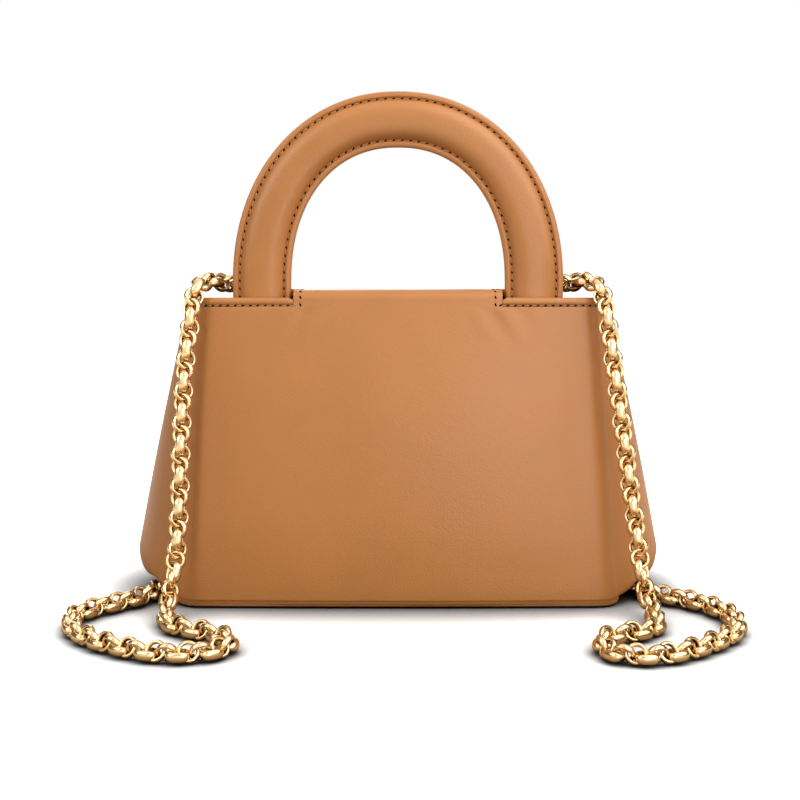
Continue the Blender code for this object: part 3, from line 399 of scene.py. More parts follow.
def mouth_tilt(y):
    """How far the mouth lies below the seam's top at y, because it falls towards the front."""
    return MOUTH_FALL * y / (2 * DEPTH_TOP)


def seam_and_bulge(height):
    share = (height - WING_HEIGHT) / (SEAM_HEIGHT - WING_HEIGHT)
    seam = lerp(WING_HALF, SEAM_TOP, share) + SEAM_BOW * bow(share)
    return seam, lerp(BULGE_LOW, BULGE_TOP, share)


def wall_sizes(height):
    """(half width of a face, depth, radius of the corners) of the wall."""
    pairs = ((FACE_FOOT, FACE_TOP), (DEPTH_FOOT, DEPTH_TOP), (CORNER_FOOT, CORNER_TOP))
    return [lerp(foot, top, height / SEAM_HEIGHT) for foot, top in pairs]


def wall_point(along, height, seam, bulge, inset):
    """A point (x, y) of the wall, both positive, with along from the middle of the face to the seam."""
    half, depth, radius = wall_sizes(height)
    centre = Vector((half - radius, depth - radius))
    radius -= inset
    start = Vector((seam - inset, 0))
    reach = start - centre
    turn = math.acos(radius / reach.length) - math.atan2(-reach.y, reach.x)
    normal = Vector((math.cos(turn), math.sin(turn)))
    if along <= FACE_SHARE:
        x = centre.x * along / FACE_SHARE
        return Vector((x, centre.y + radius + FACE_CROWN * (1 - (x / centre.x) ** 2)))
    if along <= ARC_SHARE:
        angle = lerp(math.pi / 2, turn, (along - FACE_SHARE) / (ARC_SHARE - FACE_SHARE))
        return centre + radius * Vector((math.cos(angle), math.sin(angle)))
    side = (1 - along) / (1 - ARC_SHARE)
    point = start.lerp(centre + radius * normal, side) + normal * bulge * bow(side)
    return Vector((point.x, max(point.y, SEAM_GAP)))


def body_row(share):
    """(height, seam, bulge, rise) of the wall at a share of its rows, from the foot to the mouth.
    Rise is the share of the way from the wing to the mouth, or None below the wing."""
    place = share * BODY_ROWS
    if place <= WING_ROW:
        row = min(int(place), WING_ROW - 1)
        low, high = FOOT_ROWS[row], FOOT_ROWS[row + 1]
        return *(lerp(a, b, place - row) for a, b in zip(low, high)), None
    rise = 1 - (1 - (place - WING_ROW) / (BODY_ROWS - WING_ROW)) ** ROW_CROWDING
    height = lerp(WING_HEIGHT, SEAM_HEIGHT - EDGE_DROP, rise)
    return height, *seam_and_bulge(height), rise


def grid_piece(name, columns, rows, surface, thickness, flipped=False, offset=-1):
    """A primitive grid laid over a surface, which gives the point for two shares from 0 to 1, and
    thickened. It is flipped first if its shares run the other way round."""
    bpy.ops.object.select_all(action="DESELECT")
    bpy.ops.mesh.primitive_grid_add(x_subdivisions=columns, y_subdivisions=rows, size=1)
    piece = bpy.context.object
    piece.name = name
    for vertex in piece.data.vertices:
        vertex.co = surface(vertex.co.x + 0.5, vertex.co.y + 0.5)
    if flipped:
        piece.data.flip_normals()
    apply_modifier(piece, "SOLIDIFY", thickness=thickness, offset=offset)
    return piece


def apply_modifier(piece, kind, **settings):
    modifier = piece.modifiers.new(kind.title(), kind)
    for setting, value in settings.items():
        setattr(modifier, setting, value)
    bpy.ops.object.select_all(action="DESELECT")
    bpy.context.view_layer.objects.active = piece
    piece.select_set(True)
    bpy.ops.object.modifier_apply(modifier=modifier.name)


def finish_piece(piece, material, slot, body=None, angle=40):
    """Smooth shading, the material, its slot and, unless it bends between two bodies, its body."""
    piece.data.shade_smooth()
    piece.data.set_sharp_from_angle(angle=math.radians(angle))
    piece.data.materials.clear()
    piece.data.materials.append(material)
    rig.slot(piece, slot)
    if body:
        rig.ride(piece, body)


def spread_over(tree, value, low, high):
    """A number that goes from low to high while a value goes from 0 to 1."""
    return add_node(tree, "MapRange", {"Value": value, "To Min": low, "To Max": high})


def two_tones(tree, factor, start, end, low, high):
    """A colour that goes from low to high while the factor goes from start to end."""
    tones = add_node(tree, "ValToRGB", {"Fac": factor})
    for element, position, color in zip(tones.color_ramp.elements, (start, end), (low, high)):
        element.position = position
        element.color = (*color, 1)
    return tones


def leather_material(name, color, roughness=0.40, grain=1.0):
    """Smooth calf: a close fine grain, cloudy colour from the dye and a satin, slightly uneven gloss."""
    material, tree, shader = new_material(name)
    place = add_node(tree, "TexCoord").outputs["Object"]
    clouds = add_node(tree, "TexNoise", {"Vector": place, "Scale": 34, "Detail": 6, "Roughness": 0.55})
    clouds = clouds.outputs["Fac"]
    dye = two_tones(tree, clouds, 0.30, 0.72, [c * 0.95 for c in color], [c * 1.04 for c in color])
    cells = add_node(tree, "TexVoronoi", {"Vector": place, "Scale": 1150})
    stretch = add_node(tree, "TexNoise", {"Vector": place, "Scale": 420, "Detail": 4})
    height = {0: cells.outputs["Distance"], 1: stretch.outputs["Fac"]}
    height = add_node(tree, "Math", height, operation="ADD")
    bump = add_node(tree, "Bump", {"Strength": 0.18 * grain, "Distance": 0.0003, "Height": height})
    gloss = spread_over(tree, clouds, roughness - 0.05, roughness + 0.07)
    set_inputs(shader, {"Base Color": dye, "Normal": bump, "Roughness": gloss, "Specular IOR Level": 0.6})
    return material


CARAMEL = (0.520, 0.199, 0.047)
caramel_calf = leather_material("caramel_calf", CARAMEL)

NECK_HALF = 0.0492
NECK_GAP = 0.00015
FOOT_CURL, FOOT_CURL_HEIGHT = 0.0009, 0.008
BELLY_DRAW, BELLY_HEIGHT = 0.0014, 0.045
# Each soft unevenness has its depth, its waves per metre each way and the seed of its noise
SLOW_SWELL, SLOW_WAVES, SLOW_SEED = 0.0004, (20, 17), 3.1
PANEL_SWELL, PANEL_SWELL_HALF = 0.0032, 0.095
# Ripples below each corner of the neck: their middle, their top, and waves per metre times two pi
RIPPLE_MIDDLE, RIPPLE_TOP = (0.0500, 0.1412), 0.1432
RIPPLE_DEPTH, RIPPLE_REACH, RIPPLE_FADE = 0.00040, 0.024, 0.003
RIPPLE_WAVES = (420, 260)
WING_STEP_LOW = 0.0081
CORNER_FALL, CORNER_FALL_HEIGHT, CORNER_FALL_SHARE = 0.0055, 0.008, 0.11
EDGE_TUCK, EDGE_TUCK_HEIGHT = 0.0005, 0.0012
FACE_FADE_SHARE = 0.1


def tuck(along, level):
    """How far the wall is drawn in towards the foot: a slow belly in the face, and a curl at the foot."""
    belly = BELLY_DRAW * max(0, 1 - level / BELLY_HEIGHT) ** 2
    belly *= 1 - rise_over(along, FACE_SHARE, 1)
    return belly + FOOT_CURL * max(0, 1 - level / FOOT_CURL_HEIGHT) ** 2


def soft_noise(x, y, waves, seed):
    return noise.noise(Vector((x * waves[0], y * waves[1], seed)))


def face_softness(x, height, facing):
    """How far the skin of a face stands off its even shape: slow swells, and the ripples that the
    turned edge draws below each corner of the neck."""
    swell = SLOW_SWELL * soft_noise(x, height, SLOW_WAVES, facing * SLOW_SEED)
    if facing < 0:
        swell += PANEL_SWELL * max(0, 1 - (x / PANEL_SWELL_HALF) ** 2) * bow(min(height / SEAM_HEIGHT, 1))
        for side in (-1, 1):
            reach = Vector((x - side * RIPPLE_MIDDLE[0], height - RIPPLE_MIDDLE[1]))
            fade = smooth(1 - reach.length / RIPPLE_REACH) * smooth((RIPPLE_TOP - height) / RIPPLE_FADE)
            wave = math.cos(reach.x * side * RIPPLE_WAVES[0] + reach.y * RIPPLE_WAVES[1])
            swell += RIPPLE_DEPTH * fade * wave
    return swell


def shell_surface(facing):
    """The outside of one half of the body. Its grid runs from the right seam to the left one and up."""

    def surface(across, row):
        level, seam, bulge, rise = body_row(row)
        along = abs(2 * across - 1)
        inset = tuck(along, level)
        if WING_STEP_LOW < level < WING_HEIGHT:
            # The wing's underside runs down to the foot beside the corner
            beside_corner = 1 - smooth((along - ARC_SHARE) / CORNER_FALL_SHARE)
            level -= CORNER_FALL * smooth((WING_HEIGHT - level) / CORNER_FALL_HEIGHT) * beside_corner
        height = level
        point = wall_point(along, height, seam, bulge, inset)
        if rise is not None:
            height -= mouth_tilt(facing * point.y) * rise
            point = wall_point(along, height, seam, bulge, inset)
            if facing > 0 or point.x > NECK_HALF + NECK_GAP:
                point.y -= EDGE_TUCK * smooth(1 - (SEAM_HEIGHT - EDGE_DROP - level) / EDGE_TUCK_HEIGHT)
        x = point.x if across < 0.5 else -point.x
        if along < FACE_SHARE:
            point.y += face_softness(x, height, facing) * smooth((FACE_SHARE - along) / FACE_FADE_SHARE)
        return Vector((x, point.y * facing, height))

    return surface


for name, facing, node in (("back_panel", -1, "back_shell"), ("front_panel", 1, "front_shell")):
    panel = grid_piece(name, BODY_COLUMNS, BODY_ROWS, shell_surface(facing), SKIN, flipped=facing < 0)
    finish_piece(panel, caramel_calf, "body_leather", "bag")
    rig.replaces(panel, node)

# Base: a flat panel of the same calf, sewn into the turned foot. Its bound rim shows as a thin line.
# Section of the base as (inset into the wall, height), from its underside round the rim to its top
BASE_SECTION = [
    (0.0065, 0), (0.0045, 0.0001), (0.0024, 0.0004), (0.0012, 0.0007), (0.0006, 0.0011),
    (0.0004, 0.0016), (0.0007, 0.0020), (0.0018, 0.0021), (0.0065, 0.0021),
]
BASE_STEPS = 24


def round_bag(quarter_point, count):
    """Points in order round the bag. A function gives the point (x, y, z) of a quarter, with x and y
    positive, for a share along the wall and for the front (1) or the back (-1)."""
    ring = []
    for step in range(4 * count):
        quarter, place = divmod(step, count)
        along = place / count if quarter % 2 == 0 else 1 - place / count
        facing = 1 if quarter in (0, 3) else -1
        x, y, z = quarter_point(along, facing)
        ring.append(Vector((x if quarter in (0, 1) else -x, facing * y, z)))
    return ring


def base_ring(inset, height):
    def rim_point(along, facing):
        point = wall_point(along, 0, FOOT_HALF, FOOT_BULGE, tuck(along, FOOT_LOW) + inset)
        return point.x, point.y, height

    return round_bag(rim_point, BASE_STEPS)


def join_rings(build, rings):
    """Faces between each ring of vertices and the next."""
    faces = []
    for first, second in zip(rings, rings[1:]):
        for i in range(len(first)):
            j = (i + 1) % len(first)
            faces.append(build.faces.new((first[i], first[j], second[j], second[i])))
    return faces


def close_mesh(name, build):
    """The mesh of a build, with its faces pointing outwards."""
    bmesh.ops.recalc_face_normals(build, faces=build.faces)
    mesh = bpy.data.meshes.new(name)
    build.to_mesh(mesh)
    build.free()
    return mesh


def ring_piece(name, rings, ends="capped"):
    """A skin over rings of points. Its ends are capped or joined, or it is floored: only its first ring
    is filled, with a fan."""
    build = bmesh.new()
    rings = [[build.verts.new(point) for point in ring] for ring in rings]
    join_rings(build, rings + rings[:1] if ends == "joined" else rings)
    if ends == "capped":
        build.faces.new(rings[0])
        build.faces.new(rings[-1])
    if ends == "floored":
        middle = build.verts.new(sum((vertex.co for vertex in rings[0]), Vector()) / len(rings[0]))
        for i in range(len(rings[0])):
            build.faces.new((middle, rings[0][(i + 1) % len(rings[0])], rings[0][i]))
    return add_object(name, close_mesh(name, build))


base_skin = ring_piece("base_panel_skin", [base_ring(inset, height) for inset, height in BASE_SECTION])
finish_piece(base_skin, caramel_calf, "body_leather", "bag")
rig.replaces(base_skin, "base_panel")

# Turned edge: the skin is folded over the wall's top and stitched down 3.6 mm below it, all along the
# front and, at the back, from each side seam to the notch where the flap leaves.
# Section of the edge as (inset into the wall, drop below its top), from its stitched foot over the top
EDGE_SECTION = [
    (0.0006, 0.0038), (0.0001, 0.0035), (-0.0003, 0.0030), (-0.0006, 0.0022),
    (-0.0005, 0.0014), (-0.0001, 0.0006), (0.0005, 0.0001), (0.0012, 0.0000),
    (0.0019, 0.0002), (0.0024, 0.0008), (0.0027, 0.0018), (0.0027, 0.0040),
]
NECK_ALONG = FACE_SHARE * (NECK_HALF + NECK_GAP) / (FACE_TOP - CORNER_TOP)
EDGE_STEPS = 60
EDGE_CROWDING = 1.15
EDGE_END = 0.999
NOTCH_FALL, NOTCH_FALL_SHARE = 0.0010, 0.022


def edge_point(along, facing, side, inset, drop):
    """A point on or in the turned edge, with along from the middle of the face to the seam."""
    level = SEAM_HEIGHT - drop
    point = wall_point(along, level, *seam_and_bulge(level), inset)
    return Vector((side * point.x, facing * point.y, level - mouth_tilt(facing * point.y)))


def edge_rings(facing, side, alongs):
    rings = []
    for along in alongs:
        # Beside the neck the top of the edge runs down into the notch
        fall = NOTCH_FALL * (1 - smooth((along - NECK_ALONG) / NOTCH_FALL_SHARE)) ** 2 if facing < 0 else 0
        ring = []
        for inset, drop in EDGE_SECTION:
            lowered = drop + fall * (1 - drop / EDGE_SECTION[0][1])
            ring.append(edge_point(along, facing, side, inset, lowered))
        rings.append(ring)
    return rings


for side, name in ((-1, "left"), (1, "right")):
    alongs = [lerp(NECK_ALONG, EDGE_END, (i / EDGE_STEPS) ** EDGE_CROWDING) for i in range(EDGE_STEPS + 1)]
    edge = ring_piece(f"turned_edge_{name}", edge_rings(-1, side, alongs))
    finish_piece(edge, caramel_calf, "body_leather", "bag")
    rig.replaces(edge, f"back_{name}_edge")
alongs = [i / EDGE_STEPS * EDGE_END for i in range(EDGE_STEPS + 1)]
rings = edge_rings(1, -1, reversed(alongs)) + edge_rings(1, 1, alongs[1:])
edge = ring_piece("turned_edge_front", rings)
finish_piece(edge, caramel_calf, "body_leather", "bag")
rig.replaces(edge, "front_edge")

# Stitches: tan thread laid between slanted needle holes, each a small near-black oval on the skin
# with painted shade for the depth of the hole. One row of them holds each turned edge down, and others
# hold the handle and the flap.
THREAD_HALF = 0.00022
# Places along a thread from its middle, as shares of the pitch. As shares of its half width, it stands
# out at the middle, and sinks and gets thinner towards its ends.
THREAD_SHARES = (-0.34, -0.2, 0, 0.2, 0.34)
THREAD_RISE, THREAD_FALL, THREAD_TAPER, THREAD_POWER = 0.5, 0.9, 0.45, 4
THREAD_SIDES, HOLE_SIDES = 6, 8
HOLE_HALF = (0.00092, 0.00048)
HOLE_SLANT = 0.5
# A hole's rims as (share of its size, height over the skin)
HOLE_RIMS = ((1, -0.00012), (0.85, 0.00007), (0.45, 0.00012))
LINE_MARGIN = 1e-5
EDGE_PITCH = 0.00355
EDGE_STITCH_DROP = 0.0037
EDGE_STITCH_IN = 0.0001
EDGE_OUTWARD = 0.0011
EDGE_LINE_STEPS = 40
EDGE_LINE_START, EDGE_LINE_END = NECK_ALONG * 0.975, 0.99


def plain_material(name, color, roughness):
    material, tree, shader = new_material(name)
    set_inputs(shader, {"Base Color": (*color, 1), "Roughness": roughness})
    return material


tan_thread = plain_material("tan_thread", (0.58, 0.31, 0.14), 0.6)
# The holes are near black and barely glossy: painted shade for the depth of a hole.
needle_hole = plain_material("needle_hole", (0.014, 0.005, 0.002), 0.9)
set_inputs(needle_hole.node_tree.nodes["Principled BSDF"], {"Specular IOR Level": 0.05})


def oval_ring(build, middle, long, wide, count):
    """Vertices round an oval, from its middle and its two half axes."""
    angles = [2 * math.pi * turn / count for turn in range(count)]
    return [build.verts.new(middle + long * math.cos(angle) + wide * math.sin(angle)) for angle in angles]


def stitch_row(name, line, pitch, bend=None):
    """One piece of threads and slanted needle holes, ovals of painted shade, along a line of (point, normal)
    pairs. It rides on the bag, or bends with what it holds."""
    reaches = [0]
    for (first, _), (second, _) in zip(line, line[1:]):
        reaches.append(reaches[-1] + (second - first).length)
    count = max(round(reaches[-1] / pitch), 1)
    step = reaches[-1] / count

    def place_at(reach):
        i = next((k for k in range(len(reaches) - 2) if reaches[k + 1] >= reach), len(reaches) - 2)
        share = (reach - reaches[i]) / (reaches[i + 1] - reaches[i])
        point = line[i][0].lerp(line[i + 1][0], share)
        normal = line[i][1].lerp(line[i + 1][1], share).normalized()
        along = line[i + 1][0] - line[i][0]
        along = (along - normal * along.dot(normal)).normalized()
        return point, normal, along, normal.cross(along)

    build = bmesh.new()
    for number in range(count):
        rings = []
        for share in THREAD_SHARES:
            point, normal, along, aside = place_at((number + 0.5 + share) * step)
            sunk = (share / THREAD_SHARES[-1]) ** THREAD_POWER
            middle = point + normal * THREAD_HALF * (THREAD_RISE - THREAD_FALL * sunk)
            half_width = THREAD_HALF * (1 - THREAD_TAPER * sunk)
            half_axes = aside * half_width, normal * THREAD_HALF
            rings.append(oval_ring(build, middle, *half_axes, THREAD_SIDES))
        join_rings(build, rings)
        build.faces.new(rings[0])
        build.faces.new(rings[-1])
    for number in range(count + 1):
        reach = min(max(number * step, LINE_MARGIN), reaches[-1] - LINE_MARGIN)
        point, normal, along, aside = place_at(reach)
        long = along * math.cos(HOLE_SLANT) + aside * math.sin(HOLE_SLANT)
        wide = normal.cross(long)
        rims = []
        for share, rise in HOLE_RIMS:
            half_axes = long * HOLE_HALF[0] * share, wide * HOLE_HALF[1] * share
            rims.append(oval_ring(build, point + normal * rise, *half_axes, HOLE_SIDES))
        # Each hole's ovals take the second material, the painted shade.
        for face in [build.faces.new(rims[-1])] + join_rings(build, rims):
            face.material_index = 1
    row = add_object(name, close_mesh(name, build))
    row.data.shade_smooth()
    row.data.materials.append(tan_thread)
    row.data.materials.append(needle_hole)
    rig.slot(row, "body_leather")
    if bend:
        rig.blend(row, *bend)
    else:
        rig.ride(row, "bag")


def edge_line(facing, side, start):
    line = []
    for i in range(EDGE_LINE_STEPS + 1):
        along = lerp(start, EDGE_LINE_END, i / EDGE_LINE_STEPS)
        point = edge_point(along, facing, side, EDGE_STITCH_IN, EDGE_STITCH_DROP)
        outer = edge_point(along, facing, side, EDGE_STITCH_IN - EDGE_OUTWARD, EDGE_STITCH_DROP)
        line.append((point, (outer - point).normalized()))
    return line


for side, name in ((-1, "left"), (1, "right")):
    stitch_row(f"edge_stitches_{name}", edge_line(-1, side, EDGE_LINE_START), EDGE_PITCH)
stitch_row("edge_stitches_front", edge_line(1, -1, 0)[::-1] + edge_line(1, 1, 0)[1:], EDGE_PITCH)

# Handle: a flat arch cut from two superellipses. A fibre board and foam lie inside, and a skin on each
# face is drawn over them and stitched along both rims, where the two skins meet.
SPRING_HEIGHT = 0.153
OUTER_HALF, OUTER_RISE, OUTER_POWER = 0.0784, 0.0899, 2.1
INNER_HALF, INNER_RISE, INNER_POWER = 0.0508, 0.064, 2.2
LEG_END = 0.1352
HANDLE_MIDDLE = -0.0250
HANDLE_DEPTH = 0.0060
HANDLE_SKIN = 0.0011
# The padding makes the skin uneven where it is this deep
HANDLE_UNEVENNESS, HANDLE_WAVES, UNEVEN_DEPTH = 0.00018, (45, 45), 0.004
RIM_DEPTH = 0.0024
RIM_ROUND = 0.0012
GROOVE_IN = 0.0037
ARCH_STEPS = 96
LEG_STEPS = 8


def arch_point(angle, across):
    """A point (x, z) of the arch, across from its inside or, if negative, from its outside, and the
    arch's width there."""
    ends = []
    for half, rise, power in ((INNER_HALF, INNER_RISE, INNER_POWER), (OUTER_HALF, OUTER_RISE, OUTER_POWER)):
        cosine, sine = math.cos(angle), math.sin(angle)
        x = half * math.copysign(abs(cosine) ** (2 / power), cosine)
        ends.append(Vector((x, SPRING_HEIGHT + rise * abs(sine) ** (2 / power))))
    band = (ends[1] - ends[0]).normalized()
    return (ends[0] if across >= 0 else ends[1]) + band * across, (ends[1] - ends[0]).length


# The way along the handle as (angle in the arch, drop of a leg below the arch's springing)
handle_path = [(0, SPRING_HEIGHT - lerp(LEG_END, SPRING_HEIGHT, i / LEG_STEPS)) for i in range(LEG_STEPS)]
handle_path += [(math.pi * i / ARCH_STEPS, 0) for i in range(ARCH_STEPS + 1)]
handle_path += [(math.pi, drop) for angle, drop in reversed(handle_path[:LEG_STEPS])]
# Half the section from the rim's middle to the crown: (distance in from the rim, depth), then the dome
# as shares of the way from the stitches' groove to the middle
RIM_SECTION = [(0, 0.0002), (0, 0.0008)]
RIM_SECTION += [
    (RIM_ROUND * (1 - math.cos(angle)), RIM_DEPTH - RIM_ROUND * (1 - math.sin(angle)))
    for angle in (0, 0.39, 0.79, 1.18, 1.57)
]
RIM_SECTION += [(0.0018, 0.00255), (0.0023, 0.0025), (0.0026, 0.0023), (0.0028, 0.00195), (0.0030, 0.00172)]
RIM_SECTION += [(GROOVE_IN, 0.00165)]
DOME_SHARES = (0.025, 0.055, 0.10, 0.17, 0.27, 0.40, 0.55, 0.70, 0.85, 1)
DOME_CROWN_POWER, DOME_GROOVE_POWER = 3.1, 0.78
HANDLE_COLUMNS = 2 * (len(RIM_SECTION) + len(DOME_SHARES) - 1)


def dome(share):
    """The padding's depth as a share of its crown, steep at the groove and flat at the crown."""
    return (1 - (1 - share) ** DOME_CROWN_POWER) ** DOME_GROOVE_POWER


def handle_section(width):
    half = list(RIM_SECTION)
    for share in DOME_SHARES:
        depth = lerp(RIM_SECTION[-1][1], HANDLE_DEPTH, dome(share))
        half.append((lerp(GROOVE_IN, width / 2, share), depth))
    return half + [(width - across, depth) for across, depth in reversed(half[:-1])]


for name, facing in (("front", -1), ("back", 1)):

    def handle_surface(u, v, facing=facing):
        angle, drop = handle_path[round(v * (len(handle_path) - 1))]
        width = arch_point(angle, 0)[1]
        across, depth = handle_section(width)[round(u * HANDLE_COLUMNS)]
        flat = arch_point(angle, across)[0]
        soft = HANDLE_UNEVENNESS * soft_noise(flat.x, flat.y, HANDLE_WAVES, facing)
        depth += soft * smooth(depth / UNEVEN_DEPTH)
        return Vector((flat.x, HANDLE_MIDDLE + facing * depth, flat.y - drop))

    steps = (HANDLE_COLUMNS, len(handle_path) - 1)
    cover = grid_piece(f"handle_{name}_skin", *steps, handle_surface, HANDLE_SKIN, flipped=facing > 0)
    finish_piece(cover, caramel_calf, "body_leather", "bag", angle=60)
    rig.padded(cover, fill=0.9)
    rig.replaces(cover, f"handle_{name}_cover")

HANDLE_PITCH = 0.0039
HANDLE_STITCH_IN = 0.0033
HANDLE_STITCH_DEPTH = 0.00168
for name, facing in (("front", -1), ("back", 1)):
    for rim, inward in (("outer", -1), ("inner", 1)):
        y = HANDLE_MIDDLE + facing * HANDLE_STITCH_DEPTH
        flats = [(arch_point(angle, inward * HANDLE_STITCH_IN)[0], drop) for angle, drop in handle_path]
        line = [(Vector((flat.x, y, flat.y - drop)), Vector((0, facing, 0))) for flat, drop in flats]
        stitch_row(f"handle_{name}_{rim}_stitches", line, HANDLE_PITCH)

# Flap: one long skin that leaves the back between the handle legs, rolls over the top, widens behind
# the handle and folds down over the front. It bends at the roll and at the front crease.
ROLL_LOW = 0.1456
ROLL_REACH = 0.0050
FLAP_TOP = 0.1504
CREASE_HEIGHT = 0.1469
CREASE_Y = 0.03424
BACK_Y = -(DEPTH_TOP + FACE_CROWN)
NECK_END = -0.0085
NECK_FLARE = 0.0046
FLAP_HALF = 0.076
FLAP_SKIN = 0.0013
FLAP_SPLIT = 0.016
FLAP_FALL_POWER = 1.5
FLAP_SAG, SAG_WAVES, SAG_SEED, SAG_FADE = 0.0002, (30, 30), 7.7, 0.01
FRONT_SWELL, FRONT_WAVES, FRONT_SEED = 0.00025, (25, 25), 5.2
FLAP_COLUMNS = 72
NECK_ROWS, ROLL_ROWS, TOP_ROWS = 5, 12, 44
BACK_FLAP_ROWS = NECK_ROWS + ROLL_ROWS + TOP_ROWS


def back_face(x, height):
    half, depth, radius = wall_sizes(height)
    depth += FACE_CROWN * (1 - (x / (half - radius)) ** 2)
    return -(depth + face_softness(x, height, -1))


def flap_height(y):
    share = max(0, (y - BACK_Y - ROLL_REACH) / (CREASE_Y - BACK_Y - ROLL_REACH))
    return lerp(FLAP_TOP, CREASE_HEIGHT, share**FLAP_FALL_POWER)


def flap_back_surface(u, v):
    """The flap's skin from the back panel over the roll to the split ahead of the crease."""
    row = v * BACK_FLAP_ROWS
    low = SEAM_HEIGHT - EDGE_DROP + MOUTH_FALL / 2
    x = NECK_HALF * (2 * u - 1)
    if row <= NECK_ROWS:
        height = lerp(low, ROLL_LOW, row / NECK_ROWS)
        return Vector((x, back_face(x, height), height))
    foot = back_face(x, ROLL_LOW)
    if row <= NECK_ROWS + ROLL_ROWS:
        angle = math.pi / 2 * (row - NECK_ROWS) / ROLL_ROWS
        y = foot + ROLL_REACH * (1 - math.cos(angle))
        return Vector((x, y, ROLL_LOW + (FLAP_TOP - ROLL_LOW) * math.sin(angle)))
    y = lerp(foot + ROLL_REACH, FLAP_SPLIT, (row - NECK_ROWS - ROLL_ROWS) / TOP_ROWS)
    x = lerp(NECK_HALF, FLAP_HALF, smooth((y - NECK_END) / NECK_FLARE)) * (2 * u - 1)
    sag = FLAP_SAG * soft_noise(x, y, SAG_WAVES, SAG_SEED)
    return Vector((x, y, flap_height(y) + sag * smooth((FLAP_SPLIT - y) / SAG_FADE)))


FACE_LEAN = math.atan2(DEPTH_FOOT - DEPTH_TOP, SEAM_HEIGHT)
FRONT_FRAME = (
    Matrix.Translation((0, DEPTH_FOOT, 0))
    @ Matrix.Rotation(math.pi, 4, "Z")
    @ Matrix.Rotation(math.pi / 2 - FACE_LEAN, 4, "X")
)
FLAP_OUT = 0.0037
FLAP_DROP = 0.068
FLAP_FOOT_HALF = 0.062
FLAP_FOOT_RADIUS = 0.026
STRAIGHT_DROP = FLAP_DROP - FLAP_FOOT_RADIUS
CREASE_ROUND = 0.0030
LEAD_ROWS, CREASE_ROWS, FRONT_ROWS = 10, 10, 46
FRONT_FLAP_ROWS = LEAD_ROWS + CREASE_ROWS + FRONT_ROWS
FRONT_CROWDING = 1.35


def on_front(height, out):
    """A placement on the front face: its z axis points out of the face and its y axis up it."""
    return FRONT_FRAME @ Matrix.Translation((0, height / math.cos(FACE_LEAN), out))


CREASE_CORNER = on_front(CREASE_HEIGHT, FLAP_OUT).translation
DOWN_FRONT = (on_front(CREASE_HEIGHT - 1, FLAP_OUT).translation - CREASE_CORNER).normalized()
OUT_OF_FRONT = FRONT_FRAME.to_3x3() @ Vector((0, 0, 1))


def flap_half_width(drop):
    if drop <= STRAIGHT_DROP:
        return lerp(FLAP_HALF, FLAP_FOOT_HALF, drop / STRAIGHT_DROP)
    rest = min(drop - STRAIGHT_DROP, FLAP_FOOT_RADIUS)
    return FLAP_FOOT_HALF - FLAP_FOOT_RADIUS + math.sqrt(FLAP_FOOT_RADIUS**2 - rest**2)


def flap_front_surface(u, v):
    """The flap's skin from the split over the crease to its foot."""
    row = v * FRONT_FLAP_ROWS
    turn_start = CREASE_CORNER.y - CREASE_ROUND
    if row <= LEAD_ROWS:
        y = lerp(FLAP_SPLIT, turn_start, row / LEAD_ROWS)
        return Vector((FLAP_HALF * (2 * u - 1), y, flap_height(min(y, CREASE_Y))))
    if row <= LEAD_ROWS + CREASE_ROWS:
        start = Vector((0, turn_start, flap_height(turn_start)))
        end = CREASE_CORNER + DOWN_FRONT * CREASE_ROUND
        share = (row - LEAD_ROWS) / CREASE_ROWS
        bend = start.lerp(CREASE_CORNER, share).lerp(CREASE_CORNER.lerp(end, share), share)
        return Vector((FLAP_HALF * (2 * u - 1), bend.y, bend.z))
    share = (row - LEAD_ROWS - CREASE_ROWS) / FRONT_ROWS
    drop = lerp(CREASE_ROUND, FLAP_DROP, 1 - (1 - share) ** FRONT_CROWDING)
    point = CREASE_CORNER + DOWN_FRONT * drop
    x = flap_half_width(drop) * (2 * u - 1)
    soft = FRONT_SWELL * soft_noise(x, drop, FRONT_WAVES, FRONT_SEED)
    return Vector((x, point.y + soft, point.z))


LOCK_HEIGHT = 0.092
SLOT_HALF_LENGTH = 0.0084
SLOT_HALF_WIDTH = 0.0043
SLOT_STEPS = 32
# How far the slot's cutter reaches, measured out of the front face
CUTTER_ENDS = (-0.004, 0.012)
ROLL_BEND = ("bag", "flap_top", (0, -0.0350, 0.1445), (0, -0.0300, 0.1500))
CREASE_BEND = ("flap_top", "flap_front", (0, 0.0310, 0.1490), (0, 0.0378, 0.1400))


def cut_slot(piece, spare):
    """Cuts the lock's round-ended slot, with some spare room round it."""
    outline = []
    radius = SLOT_HALF_WIDTH + spare
    for turn in range(SLOT_STEPS):
        angle = 2 * math.pi * turn / SLOT_STEPS
        rise = math.copysign(SLOT_HALF_LENGTH - SLOT_HALF_WIDTH, math.sin(angle))
        outline.append((radius * math.cos(angle), rise + radius * math.sin(angle)))
    at_lock = on_front(LOCK_HEIGHT, 0)
    rings = [[at_lock @ Vector((x, y, out)) for x, y in outline] for out in CUTTER_ENDS]
    cutter = ring_piece("slot_cutter", rings)
    apply_modifier(piece, "BOOLEAN", object=cutter, operation="DIFFERENCE", solver="EXACT")
    bpy.data.objects.remove(cutter)


def flap_skin(name, rows, surface, thickness, material, slot, bend, node, slot_room=None):
    """One leather of the flap: laid over its surface, given its thickness and, at the front, its slot."""
    skin = grid_piece(name, FLAP_COLUMNS, rows, surface, thickness)
    if slot_room is not None:
        cut_slot(skin, slot_room)
    finish_piece(skin, material, slot)
    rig.blend(skin, *bend)
    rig.replaces(skin, node)


